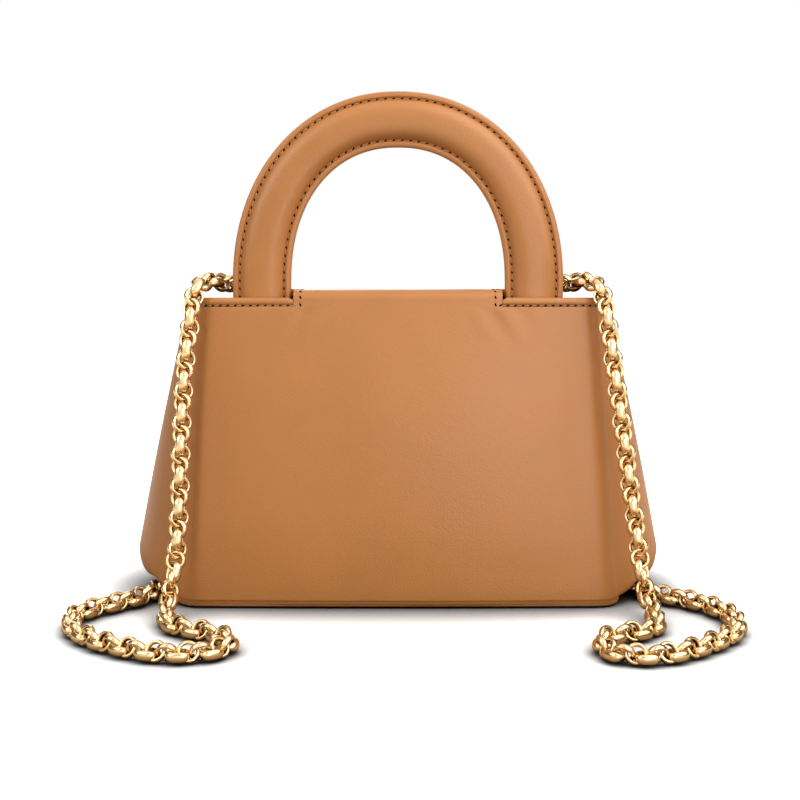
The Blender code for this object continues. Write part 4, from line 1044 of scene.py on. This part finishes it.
outer = (FLAP_SKIN, caramel_calf, "body_leather")
flap_skin("flap_back", BACK_FLAP_ROWS, flap_back_surface, *outer, ROLL_BEND, "flap_top_outer")
flap_skin("flap_front", FRONT_FLAP_ROWS, flap_front_surface, *outer, CREASE_BEND, "flap_front_outer", 0)

# Facings: thin matte russet leather, glued under both parts of the flap and set back a little from
# their borders. The flap's stitches run through both leathers, along its sides and round its foot.
FACING_UNDER = FLAP_SKIN + 0.0003
FACING_SKIN = 0.0009
FACING_SETBACK = 0.0012
FACING_SLOT_ROOM = 0.0002
BACK_FACING_ROWS = 48
# Where the facings begin and end, as shares of the rows of the flap's skins
BACK_FACING_START, FRONT_FACING_END = 0.20, 0.992
RUSSET = (0.330, 0.150, 0.062)
split_calf = leather_material("split_calf", RUSSET, roughness=0.62, grain=1.5)


def surface_normal(surface, u, v, step):
    """The way out of a surface, from points of it that lie a small step in its shares apart."""
    du = surface(u + step, v) - surface(u - step, v)
    dv = surface(u, min(v + step, 1)) - surface(u, max(v - step, 0))
    return du.cross(dv).normalized()


def under(surface, row_start, row_end):
    """A facing's surface under a stretch of a flap's, set back from its side borders."""

    def facing_surface(u, v):
        v = lerp(row_start, row_end, v)
        setback = FACING_SETBACK / (surface(1, v) - surface(0, v)).length
        u = lerp(setback, 1 - setback, u)
        return surface(u, v) - surface_normal(surface, u, v, step=0.001) * FACING_UNDER

    return facing_surface


inner = (FACING_SKIN, split_calf, "facing_leather")
surface = under(flap_back_surface, BACK_FACING_START, 1)
flap_skin("flap_back_facing", BACK_FACING_ROWS, surface, *inner, ROLL_BEND, "flap_top_facing")
surface = under(flap_front_surface, 0, FRONT_FACING_END)
inner += (CREASE_BEND, "flap_front_facing", FACING_SLOT_ROOM)
flap_skin("flap_front_lining", FRONT_FLAP_ROWS, surface, *inner)

FLAP_PITCH = 0.0036
FLAP_STITCH_IN = 0.0033
BORDER_STEPS, CREASE_STEPS, STRAIGHT_STEPS, ARC_STEPS = 120, 40, 30, 24
# How far a stitch line lies out of the flap's skin, over its roll and crease and on its front
BENT_LINE_OUT, FRONT_LINE_OUT = 0.00005, 0.0002


def border_line(surface, side, rows):
    """A line of (point, normal) pairs along a side border of a skin, the stitches' distance in."""
    line = []
    for v in rows:
        u = FLAP_STITCH_IN / (surface(1, v) - surface(0, v)).length
        u = 1 - u if side > 0 else u
        normal = surface_normal(surface, u, v, step=0.002)
        line.append((surface(u, v) + normal * BENT_LINE_OUT, normal))
    return line


for side, name in ((-1, "left"), (1, "right")):
    line = border_line(flap_back_surface, side, [i / BORDER_STEPS for i in range(1, BORDER_STEPS + 1)])
    stitch_row(f"flap_back_stitches_{name}", line, EDGE_PITCH, ROLL_BEND)

crease_share = (LEAD_ROWS + CREASE_ROWS) / FRONT_FLAP_ROWS
border = border_line(flap_front_surface, 1, [crease_share * i / CREASE_STEPS for i in range(CREASE_STEPS)])
drops = [lerp(CREASE_ROUND, STRAIGHT_DROP, i / STRAIGHT_STEPS) for i in range(STRAIGHT_STEPS + 1)]
outline = [(flap_half_width(drop) - FLAP_STITCH_IN, drop) for drop in drops]
reach = FLAP_FOOT_RADIUS - FLAP_STITCH_IN
for turn in range(1, ARC_STEPS + 1):
    angle = math.pi / 2 * turn / ARC_STEPS
    x = FLAP_FOOT_HALF - FLAP_FOOT_RADIUS + reach * math.cos(angle)
    outline.append((x, STRAIGHT_DROP + reach * math.sin(angle)))
for x, drop in outline:
    point = CREASE_CORNER + DOWN_FRONT * drop + Vector((x, 0, 0)) + OUT_OF_FRONT * FRONT_LINE_OUT
    border.append((point, OUT_OF_FRONT))
border += [(Vector((-point.x, point.y, point.z)), Vector((-n.x, n.y, n.z))) for point, n in reversed(border)]
stitch_row("flap_front_stitches", border, FLAP_PITCH, CREASE_BEND)

# Lining: brown twill, sewn to the facing at the mouth and slack enough to wrinkle a little over the
# board in the base. The leather facing above it finishes the mouth, and a slip pocket hangs at the back.
WALL = 0.0022
CLOTH_SKIN = 0.0006
LINING_GAP = 0.0006
LINING_INSET = WALL + LINING_GAP + CLOTH_SKIN
LINING_LOW = 0.0047
LINING_CREEP = 0.0002
LINING_FOOT_IN = 0.002
LINING_WALL_LOW = 0.0066
LINING_SPREAD_LOW = 0.0118
LINING_DROP = 0.0155
# Rings on the lining's floor, as shares of the way out from its middle
LINING_FLOOR = (0.25, 0.6, 0.9)
LINING_ROWS = 44
# A fold takes in the slack where its noise, raised by a share, is above zero
LINING_SLACK_SHARE, FOLD_SHARE = 0.036, 0.5
FOLD_WAVES, FOLD_WAVES_UP, FOLD_SEED = (26, 26), 14, 3
WALL_STEPS = 44
COCOA = (0.170, 0.090, 0.048)


def wall_ring(level, seam, bulge, inset, tilted=True):
    """Points round the inside of the walls, in a level ring or one that is tilted like the mouth."""

    def inner_point(along, facing):
        point = wall_point(along, level, seam, bulge, inset)
        return point.x, point.y, level - (mouth_tilt(facing * point.y) if tilted else 0)

    return round_bag(inner_point, WALL_STEPS)


def twill_material(name, color):
    """Brown cotton twill: fine diagonal ribs and a dull face."""
    material, tree, shader = new_material(name)
    place = add_node(tree, "TexCoord").outputs["Object"]
    ribs = {"Vector": place, "Scale": 420, "Distortion": 0.6}
    ribs = add_node(tree, "TexWave", ribs, bands_direction="DIAGONAL").outputs["Fac"]
    dye = two_tones(tree, ribs, 0, 1, [c * 0.72 for c in color], [c * 1.15 for c in color])
    bump = add_node(tree, "Bump", {"Strength": 0.3, "Distance": 0.0002, "Height": ribs})
    set_inputs(shader, {"Base Color": dye, "Normal": bump, "Roughness": 0.85})
    return material


brown_twill = twill_material("brown_twill", COCOA)
foot = wall_ring(LINING_LOW, FOOT_HALF, FOOT_BULGE, LINING_INSET + LINING_FOOT_IN, tilted=False)
rings = []
for share in LINING_FLOOR:
    rings.append([Vector((point.x * share, point.y * share, LINING_LOW + LINING_CREEP)) for point in foot])
rings.append(foot)
for row in range(LINING_ROWS + 1):
    share = row / LINING_ROWS
    level = lerp(LINING_WALL_LOW, SEAM_HEIGHT - LINING_DROP, share)
    seam, bulge = seam_and_bulge(level)
    if level < WING_HEIGHT:
        spread = rise_over(level, LINING_SPREAD_LOW, WING_HEIGHT)
        seam, bulge = lerp(FOOT_HALF, WING_HALF, spread), lerp(FOOT_BULGE, BULGE_LOW, spread)
    ring = wall_ring(level, seam, bulge, LINING_INSET, tilted=share == 1)
    slack = LINING_SLACK_SHARE * bow(share) ** 0.5
    for point in ring:
        fold = soft_noise(point.x, point.y, FOLD_WAVES, point.z * FOLD_WAVES_UP + FOLD_SEED)
        point.y *= 1 - max(fold + FOLD_SHARE, 0) * slack
    rings.append(ring)
lining_cloth = ring_piece("lining_cloth", rings, ends="floored")
apply_modifier(lining_cloth, "SOLIDIFY", thickness=CLOTH_SKIN, offset=0)
finish_piece(lining_cloth, brown_twill, "lining_cloth", "bag", angle=60)
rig.replaces(lining_cloth, "lining")

# Section of the mouth's facing as (inset into the wall, drop below the seam's top), all the way round
MOUTH_SECTION = [
    (0.0034, 0.0151), (0.0038, 0.0153), (0.0044, 0.0151), (0.0045, 0.0143), (0.0041, 0.0124),
    (0.0043, 0.0100), (0.0043, 0.0035), (0.0042, 0.0019), (0.0038, 0.0013), (0.0034, 0.0014),
]
rings = []
for inset, drop in MOUTH_SECTION:
    level = SEAM_HEIGHT - drop
    rings.append(wall_ring(level, *seam_and_bulge(level), inset))
mouth_band = ring_piece("mouth_band", rings, ends="joined")
finish_piece(mouth_band, split_calf, "facing_leather", "bag", angle=60)
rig.replaces(mouth_band, "mouth_facing")

POCKET_HALF = 0.058
POCKET_LOW = 0.052
POCKET_HIGH = 0.112
POCKET_OUT = 0.0049
POCKET_SKIN = 0.0008
POCKET_SAG = 0.0016
POCKET_DIP = 0.0012
POCKET_HEM = 0.0004
POCKET_UNEVENNESS, POCKET_WAVES, POCKET_SEED = 0.0003, (40, 40), 1.7
POCKET_COLUMNS, POCKET_ROWS = 48, 60
# Shares of the pocket's height where it starts to sag, and where its hem begins and ends
SAG_START, HEM_START, HEM_END = 0.45, (0.89, 0.91), (0.985, 1)


def pocket_surface(u, v):
    height = lerp(POCKET_LOW, POCKET_HIGH, v)
    x = POCKET_HALF * (2 * u - 1)
    depth = wall_sizes(height)[1]
    sag = POCKET_SAG * bow(u) * rise_over(v, SAG_START, 1)
    hem = POCKET_HEM * rise_over(v, *HEM_START) * (1 - rise_over(v, *HEM_END))
    unevenness = POCKET_UNEVENNESS * soft_noise(x, height, POCKET_WAVES, POCKET_SEED)
    lift = POCKET_OUT + sag + hem + unevenness
    return Vector((x, lift - depth, height - POCKET_DIP * bow(u) * v))


steps = (POCKET_COLUMNS, POCKET_ROWS)
slip_pocket = grid_piece("slip_pocket", *steps, pocket_surface, POCKET_SKIN, flipped=True, offset=0)
finish_piece(slip_pocket, brown_twill, "lining_cloth", "bag", angle=60)
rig.replaces(slip_pocket, "inner_pocket")

# Shoulder chain: gold plated links, one wide oval link and two narrow round ones in turn, each turned
# by a sixth of a round from the last. It hangs from the ring on each handle leg and lies in loose loops.
CHAIN_RADIUS = 0.0045
BEAD_HALF_LENGTH, BEAD_HALF_WIDTH, BEAD_POWER, BEAD_TAPER = 0.00545, 0.0045, 2.7, 0.22
BEAD_DOME = [(0.00238, 0.00150), (0.00215, 0.00088), (0.00160, 0.00038), (0.00085, 0.00010)]
BEAD_BORE = (0.00200, 0.00200)
BEAD_THICKNESS = 0.00210
RING_HALF = 0.00495
RING_DOME = [(0.00145, 0.00090), (0.00118, 0.00038), (0.00065, 0.00009)]
RING_BORE = (0.00115, 0.00150)
RING_THICKNESS = 0.00168
BEAD_STEPS, RING_STEPS = 22, 18
HANGING_PERIOD, LYING_PERIOD = 0.0148, 0.0138
BEAD_TO_RING_SHARE = 0.314
END_REACH = 0.0057
TURN_PER_LINK = math.radians(60)
# Heights over which the chain goes from lying to hanging: for its periods, and for how its links turn
PERIOD_CHANGE, TURN_CHANGE = (0.010, 0.030), (0.012, 0.040)
BEAD_SINK = 0.0011
RING_LIFT = 0.0004
LEFT_DRAPE = [
    (-0.0706, -0.0142, 0.1515), (-0.0775, -0.0146, 0.1524), (-0.0846, -0.0190, 0.1535),
    (-0.0905, -0.0270, 0.1541), (-0.0940, -0.0355, 0.1516), (-0.0960, -0.0392, 0.1440),
    (-0.0972, -0.0402, 0.1330), (-0.0990, -0.0416, 0.1190), (-0.1002, -0.0430, 0.1040),
    (-0.1010, -0.0444, 0.0890), (-0.1016, -0.0460, 0.0730), (-0.1020, -0.0478, 0.0570),
    (-0.1027, -0.0500, 0.0410), (-0.1038, -0.0528, 0.0255), (-0.1060, -0.0590, 0.0115),
    (-0.1058, -0.0700, 0.0054),
]
LYING_HEIGHT = 0.0046
LYING_LOOPS = [
    (-0.1030, -0.0830), (-0.0960, -0.0920), (-0.0870, -0.0975), (-0.0780, -0.1040), (-0.0722, -0.1130),
    (-0.0738, -0.1225), (-0.0825, -0.1290), (-0.0950, -0.1305), (-0.1080, -0.1265), (-0.1210, -0.1185),
    (-0.1330, -0.1080), (-0.1425, -0.0945), (-0.1472, -0.0795), (-0.1445, -0.0665), (-0.1360, -0.0550),
    (-0.1270, -0.0455), (-0.1195, -0.0340), (-0.1160, -0.0190), (-0.1155, 0.0000), (-0.1160, 0.0220),
    (-0.1165, 0.0420), (-0.1080, 0.0570), (-0.0900, 0.0630), (-0.0600, 0.0645), (-0.0200, 0.0640),
    (0.0200, 0.0640), (0.0600, 0.0645), (0.0900, 0.0630), (0.1080, 0.0570), (0.1165, 0.0420),
    (0.1160, 0.0220), (0.1155, 0.0000), (0.1170, -0.0180), (0.1215, -0.0310), (0.1300, -0.0400),
    (0.1400, -0.0490), (0.1485, -0.0630), (0.1518, -0.0800), (0.1480, -0.0965), (0.1385, -0.1100),
    (0.1270, -0.1215), (0.1150, -0.1300), (0.1020, -0.1335), (0.0910, -0.1300), (0.0868, -0.1200),
    (0.0895, -0.1085), (0.0985, -0.1020), (0.1085, -0.0965), (0.1155, -0.0860),
]
RIGHT_DRAPE = [
    (0.1165, -0.0720, 0.0054), (0.1150, -0.0600, 0.0115), (0.1130, -0.0530, 0.0255),
    (0.1112, -0.0502, 0.0410), (0.1088, -0.0480, 0.0575), (0.1066, -0.0464, 0.0740),
    (0.1044, -0.0448, 0.0900), (0.1024, -0.0434, 0.1040), (0.1004, -0.0420, 0.1180),
    (0.0986, -0.0406, 0.1310), (0.0968, -0.0396, 0.1430), (0.0945, -0.0362, 0.1510),
    (0.0908, -0.0285, 0.1541), (0.0860, -0.0205, 0.1538), (0.0785, -0.0150, 0.1527),
    (0.0706, -0.0142, 0.1515),
]
# The knots between which each round of the spline blends its points
SPLINE_SPANS = (((0, 1), (1, 2), (2, 3)), ((0, 2), (1, 3)), ((1, 2),))
CHAIN_ROUTE = LEFT_DRAPE + [(x, y, LYING_HEIGHT) for x, y in LYING_LOOPS] + RIGHT_DRAPE


def spline_point(points, knots, at):
    """A point on the centripetal spline between the second and third of four points."""
    for spans in SPLINE_SPANS:
        shares = [(at - knots[i]) / (knots[j] - knots[i]) for i, j in spans]
        points = [first.lerp(second, share) for first, second, share in zip(points, points[1:], shares)]
    return points[0]


def fine_route(points, steps=24):
    """The chain's route in short straight steps, so many from each of its points to the next."""
    points = [Vector(point) for point in points]
    points = [2 * points[0] - points[1]] + points + [2 * points[-1] - points[-2]]
    fine = []
    for before, start, end, after in zip(points, points[1:], points[2:], points[3:]):
        knots = [0]
        for first, second in ((before, start), (start, end), (end, after)):
            knots.append(knots[-1] + (second - first).length ** 0.5)
        for step in range(steps):
            at = lerp(knots[1], knots[2], step / steps)
            fine.append(spline_point((before, start, end, after), knots, at))
    return fine + [points[-2]]


def band_section(dome, bore, thickness):
    """A domed band's section as (height, depth in from the outside). Half of its dome, one side of its
    bore and the band's thickness are given."""
    section = [(-height, depth) for height, depth in dome] + [(0, 0)] + dome[::-1]
    return section + [bore, (0, thickness), (-bore[0], bore[1])]


def link_mesh(half_length, half_width, section, segments, power=2, taper=0):
    """A link round its z axis, long along x."""
    build = bmesh.new()
    rings = []
    for i in range(segments):
        angle = 2 * math.pi * i / segments
        cosine, sine = math.cos(angle), math.sin(angle)
        x = math.copysign(abs(cosine) ** (2 / power), cosine)
        y = math.copysign(abs(sine) ** (2 / power), sine)
        outside = Vector((half_length * x, half_width * y, 0))
        steep_x = math.copysign(abs(x) ** (power - 1), x) / half_length
        steep_y = math.copysign(abs(y) ** (power - 1), y) / half_width
        inward = -Vector((steep_x, steep_y, 0)).normalized()
        slim = 1 - taper * abs(x) ** 4
        points = [outside + inward * depth + Vector((0, 0, height * slim)) for height, depth in section]
        rings.append([build.verts.new(point) for point in points])
    join_rings(build, rings + rings[:1])
    return close_mesh("link", build)


bead_section = band_section(BEAD_DOME, BEAD_BORE, BEAD_THICKNESS)
bead = link_mesh(BEAD_HALF_LENGTH, BEAD_HALF_WIDTH, bead_section, BEAD_STEPS, BEAD_POWER, BEAD_TAPER)
ring = link_mesh(RING_HALF, RING_HALF, band_section(RING_DOME, RING_BORE, RING_THICKNESS), RING_STEPS)

# Reaches along the route, as lengths in metres and as phases in periods, which are longer where it hangs
route = fine_route(CHAIN_ROUTE)
lengths = [0]
phases = [0]
for first, second in zip(route, route[1:]):
    step = (second - first).length
    hanging = rise_over((first.z + second.z) / 2, *PERIOD_CHANGE)
    lengths.append(lengths[-1] + step)
    phases.append(phases[-1] + step / lerp(LYING_PERIOD, HANGING_PERIOD, hanging))
# The first and last wide links hang in the end rings, so they start a little way along the route
start = END_REACH / HANGING_PERIOD
periods = round(phases[-1] - 2 * start)
period_step = (phases[-1] - 2 * start) / periods


def route_at(place):
    """The chain's middle and its direction at a place, counted in wide links from the first."""
    phase = start + place * period_step
    i = next(k for k in range(len(phases) - 1) if phases[k + 1] >= phase)
    share = (phase - phases[i]) / (phases[i + 1] - phases[i])
    before, after = route[max(i - 2, 0)], route[min(i + 3, len(route) - 1)]
    return route[i].lerp(route[i + 1], share), (after - before).normalized()


build = bmesh.new()
for number in range(3 * periods + 1):
    period, kind = divmod(number, 3)
    middle, direction = route_at(period + (0, BEAD_TO_RING_SHARE, 1 - BEAD_TO_RING_SHARE)[kind])
    lying = 1 - rise_over(middle.z, *TURN_CHANGE)
    hanging_axis = Vector((direction.z, 0, -direction.x))
    axis = hanging_axis.normalized().lerp(Vector((0, 0, 1)), lying)
    axis = (axis - direction * axis.dot(direction)).normalized()
    axis.rotate(Matrix.Rotation(math.copysign(kind * TURN_PER_LINK, -middle.x), 3, direction))
    middle = middle + Vector((0, 0, (RING_LIFT if kind else -BEAD_SINK) * lying))
    frame_turn = Matrix((direction, axis.cross(direction), axis)).transposed().to_4x4()
    link = (bead if kind == 0 else ring).copy()
    link.transform(Matrix.Translation(middle) @ frame_turn)
    build.from_mesh(link)
    bpy.data.meshes.remove(link)
chain_mesh = bpy.data.meshes.new("link_chain")
build.to_mesh(chain_mesh)
build.free()
link_chain = add_object("link_chain", chain_mesh)

PALE_PLATE, DEEP_PLATE = (0.84, 0.65, 0.37), (0.77, 0.56, 0.29)
# The deep brown of the painted shade in the hollows between the links
HOLLOW_SHADE_GOLD = (0.26, 0.115, 0.03, 1)
GOLD_ROUGHNESS = 0.20


def gold_material(name):
    """Polished pale gold plate with painted shade: an ambient occlusion probe darkens it towards a deep
    brown in the hollows between the links. It has the faint unevenness that tumbling leaves in its gloss."""
    material, tree, shader = new_material(name)
    place = add_node(tree, "TexCoord").outputs["Object"]
    uneven = add_node(tree, "TexNoise", {"Vector": place, "Scale": 120, "Detail": 2}).outputs["Fac"]
    plate = two_tones(tree, uneven, 0.3, 0.7, DEEP_PLATE, PALE_PLATE)
    # Painted shade: ambient occlusion between the links mixes the plate towards a deep brown.
    painted_hollow_shade = add_node(tree, "AmbientOcclusion", {"Distance": 0.0035}, samples=6)
    painted_shade_factor = {"Value": painted_hollow_shade.outputs["AO"], "From Min": 0.04, "From Max": 0.52}
    plate_with_painted_shade = mix_colors(tree, add_node(tree, "MapRange", painted_shade_factor), HOLLOW_SHADE_GOLD, plate)
    gloss = spread_over(tree, uneven, GOLD_ROUGHNESS - 0.04, GOLD_ROUGHNESS + 0.05)
    set_inputs(shader, {"Base Color": plate_with_painted_shade, "Roughness": gloss, "Metallic": 1})
    return material


polished_gold = gold_material("polished_gold")
finish_piece(link_chain, polished_gold, "gold_chain", "bag", angle=80)
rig.replaces(link_chain, "shoulder_chain")
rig.cord(
    link_chain,
    exit=CHAIN_ROUTE[0],
    length=lengths[-1],
    diameter=2 * CHAIN_RADIUS,
    far_end="object",
    stiffness="limp",
    lay="loose",
    path=[list(point) for point in route[::4]] + [list(route[-1])],
)

# What is left from the CAD gets the finish of what it is made of: gold plated brass for the lock,
# eyelet, rivets, studs and end rings, grey brown fibre board in the base and handle, and pale foam.
fibre_board = leather_material("fibre_board", (0.24, 0.19, 0.14), roughness=0.85, grain=2.5)
pale_foam = plain_material("pale_foam", (0.78, 0.74, 0.62), 0.95)
# Finishes as (words in the nodes' names, material, width of the softened edges)
FINISHES = (
    (("rivet", "lock", "stud", "ring", "eyelet"), polished_gold, 0.00025),
    (("board", "core", "socket"), fibre_board, 0.0003),
    (("pad",), pale_foam, 0),
)
for node, piece in frame["nodes"].items():
    for words, material, bevel in FINISHES:
        if any(word in node for word in words):
            piece.data.materials.clear()
            piece.data.materials.append(material)
            if bevel and "ring" not in node:
                softened = piece.modifiers.new("Bevel", "BEVEL")
                softened.width = bevel
                softened.segments = 2
                softened.limit_method = "ANGLE"
                softened.angle_limit = math.radians(40)
                softened.harden_normals = False
            break

size = {"cad": [list(corner) for corner in cad_box], "visual": [list(corner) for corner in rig.bounds()]}
with open("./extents.json", "w") as file:
    json.dump(size, file)
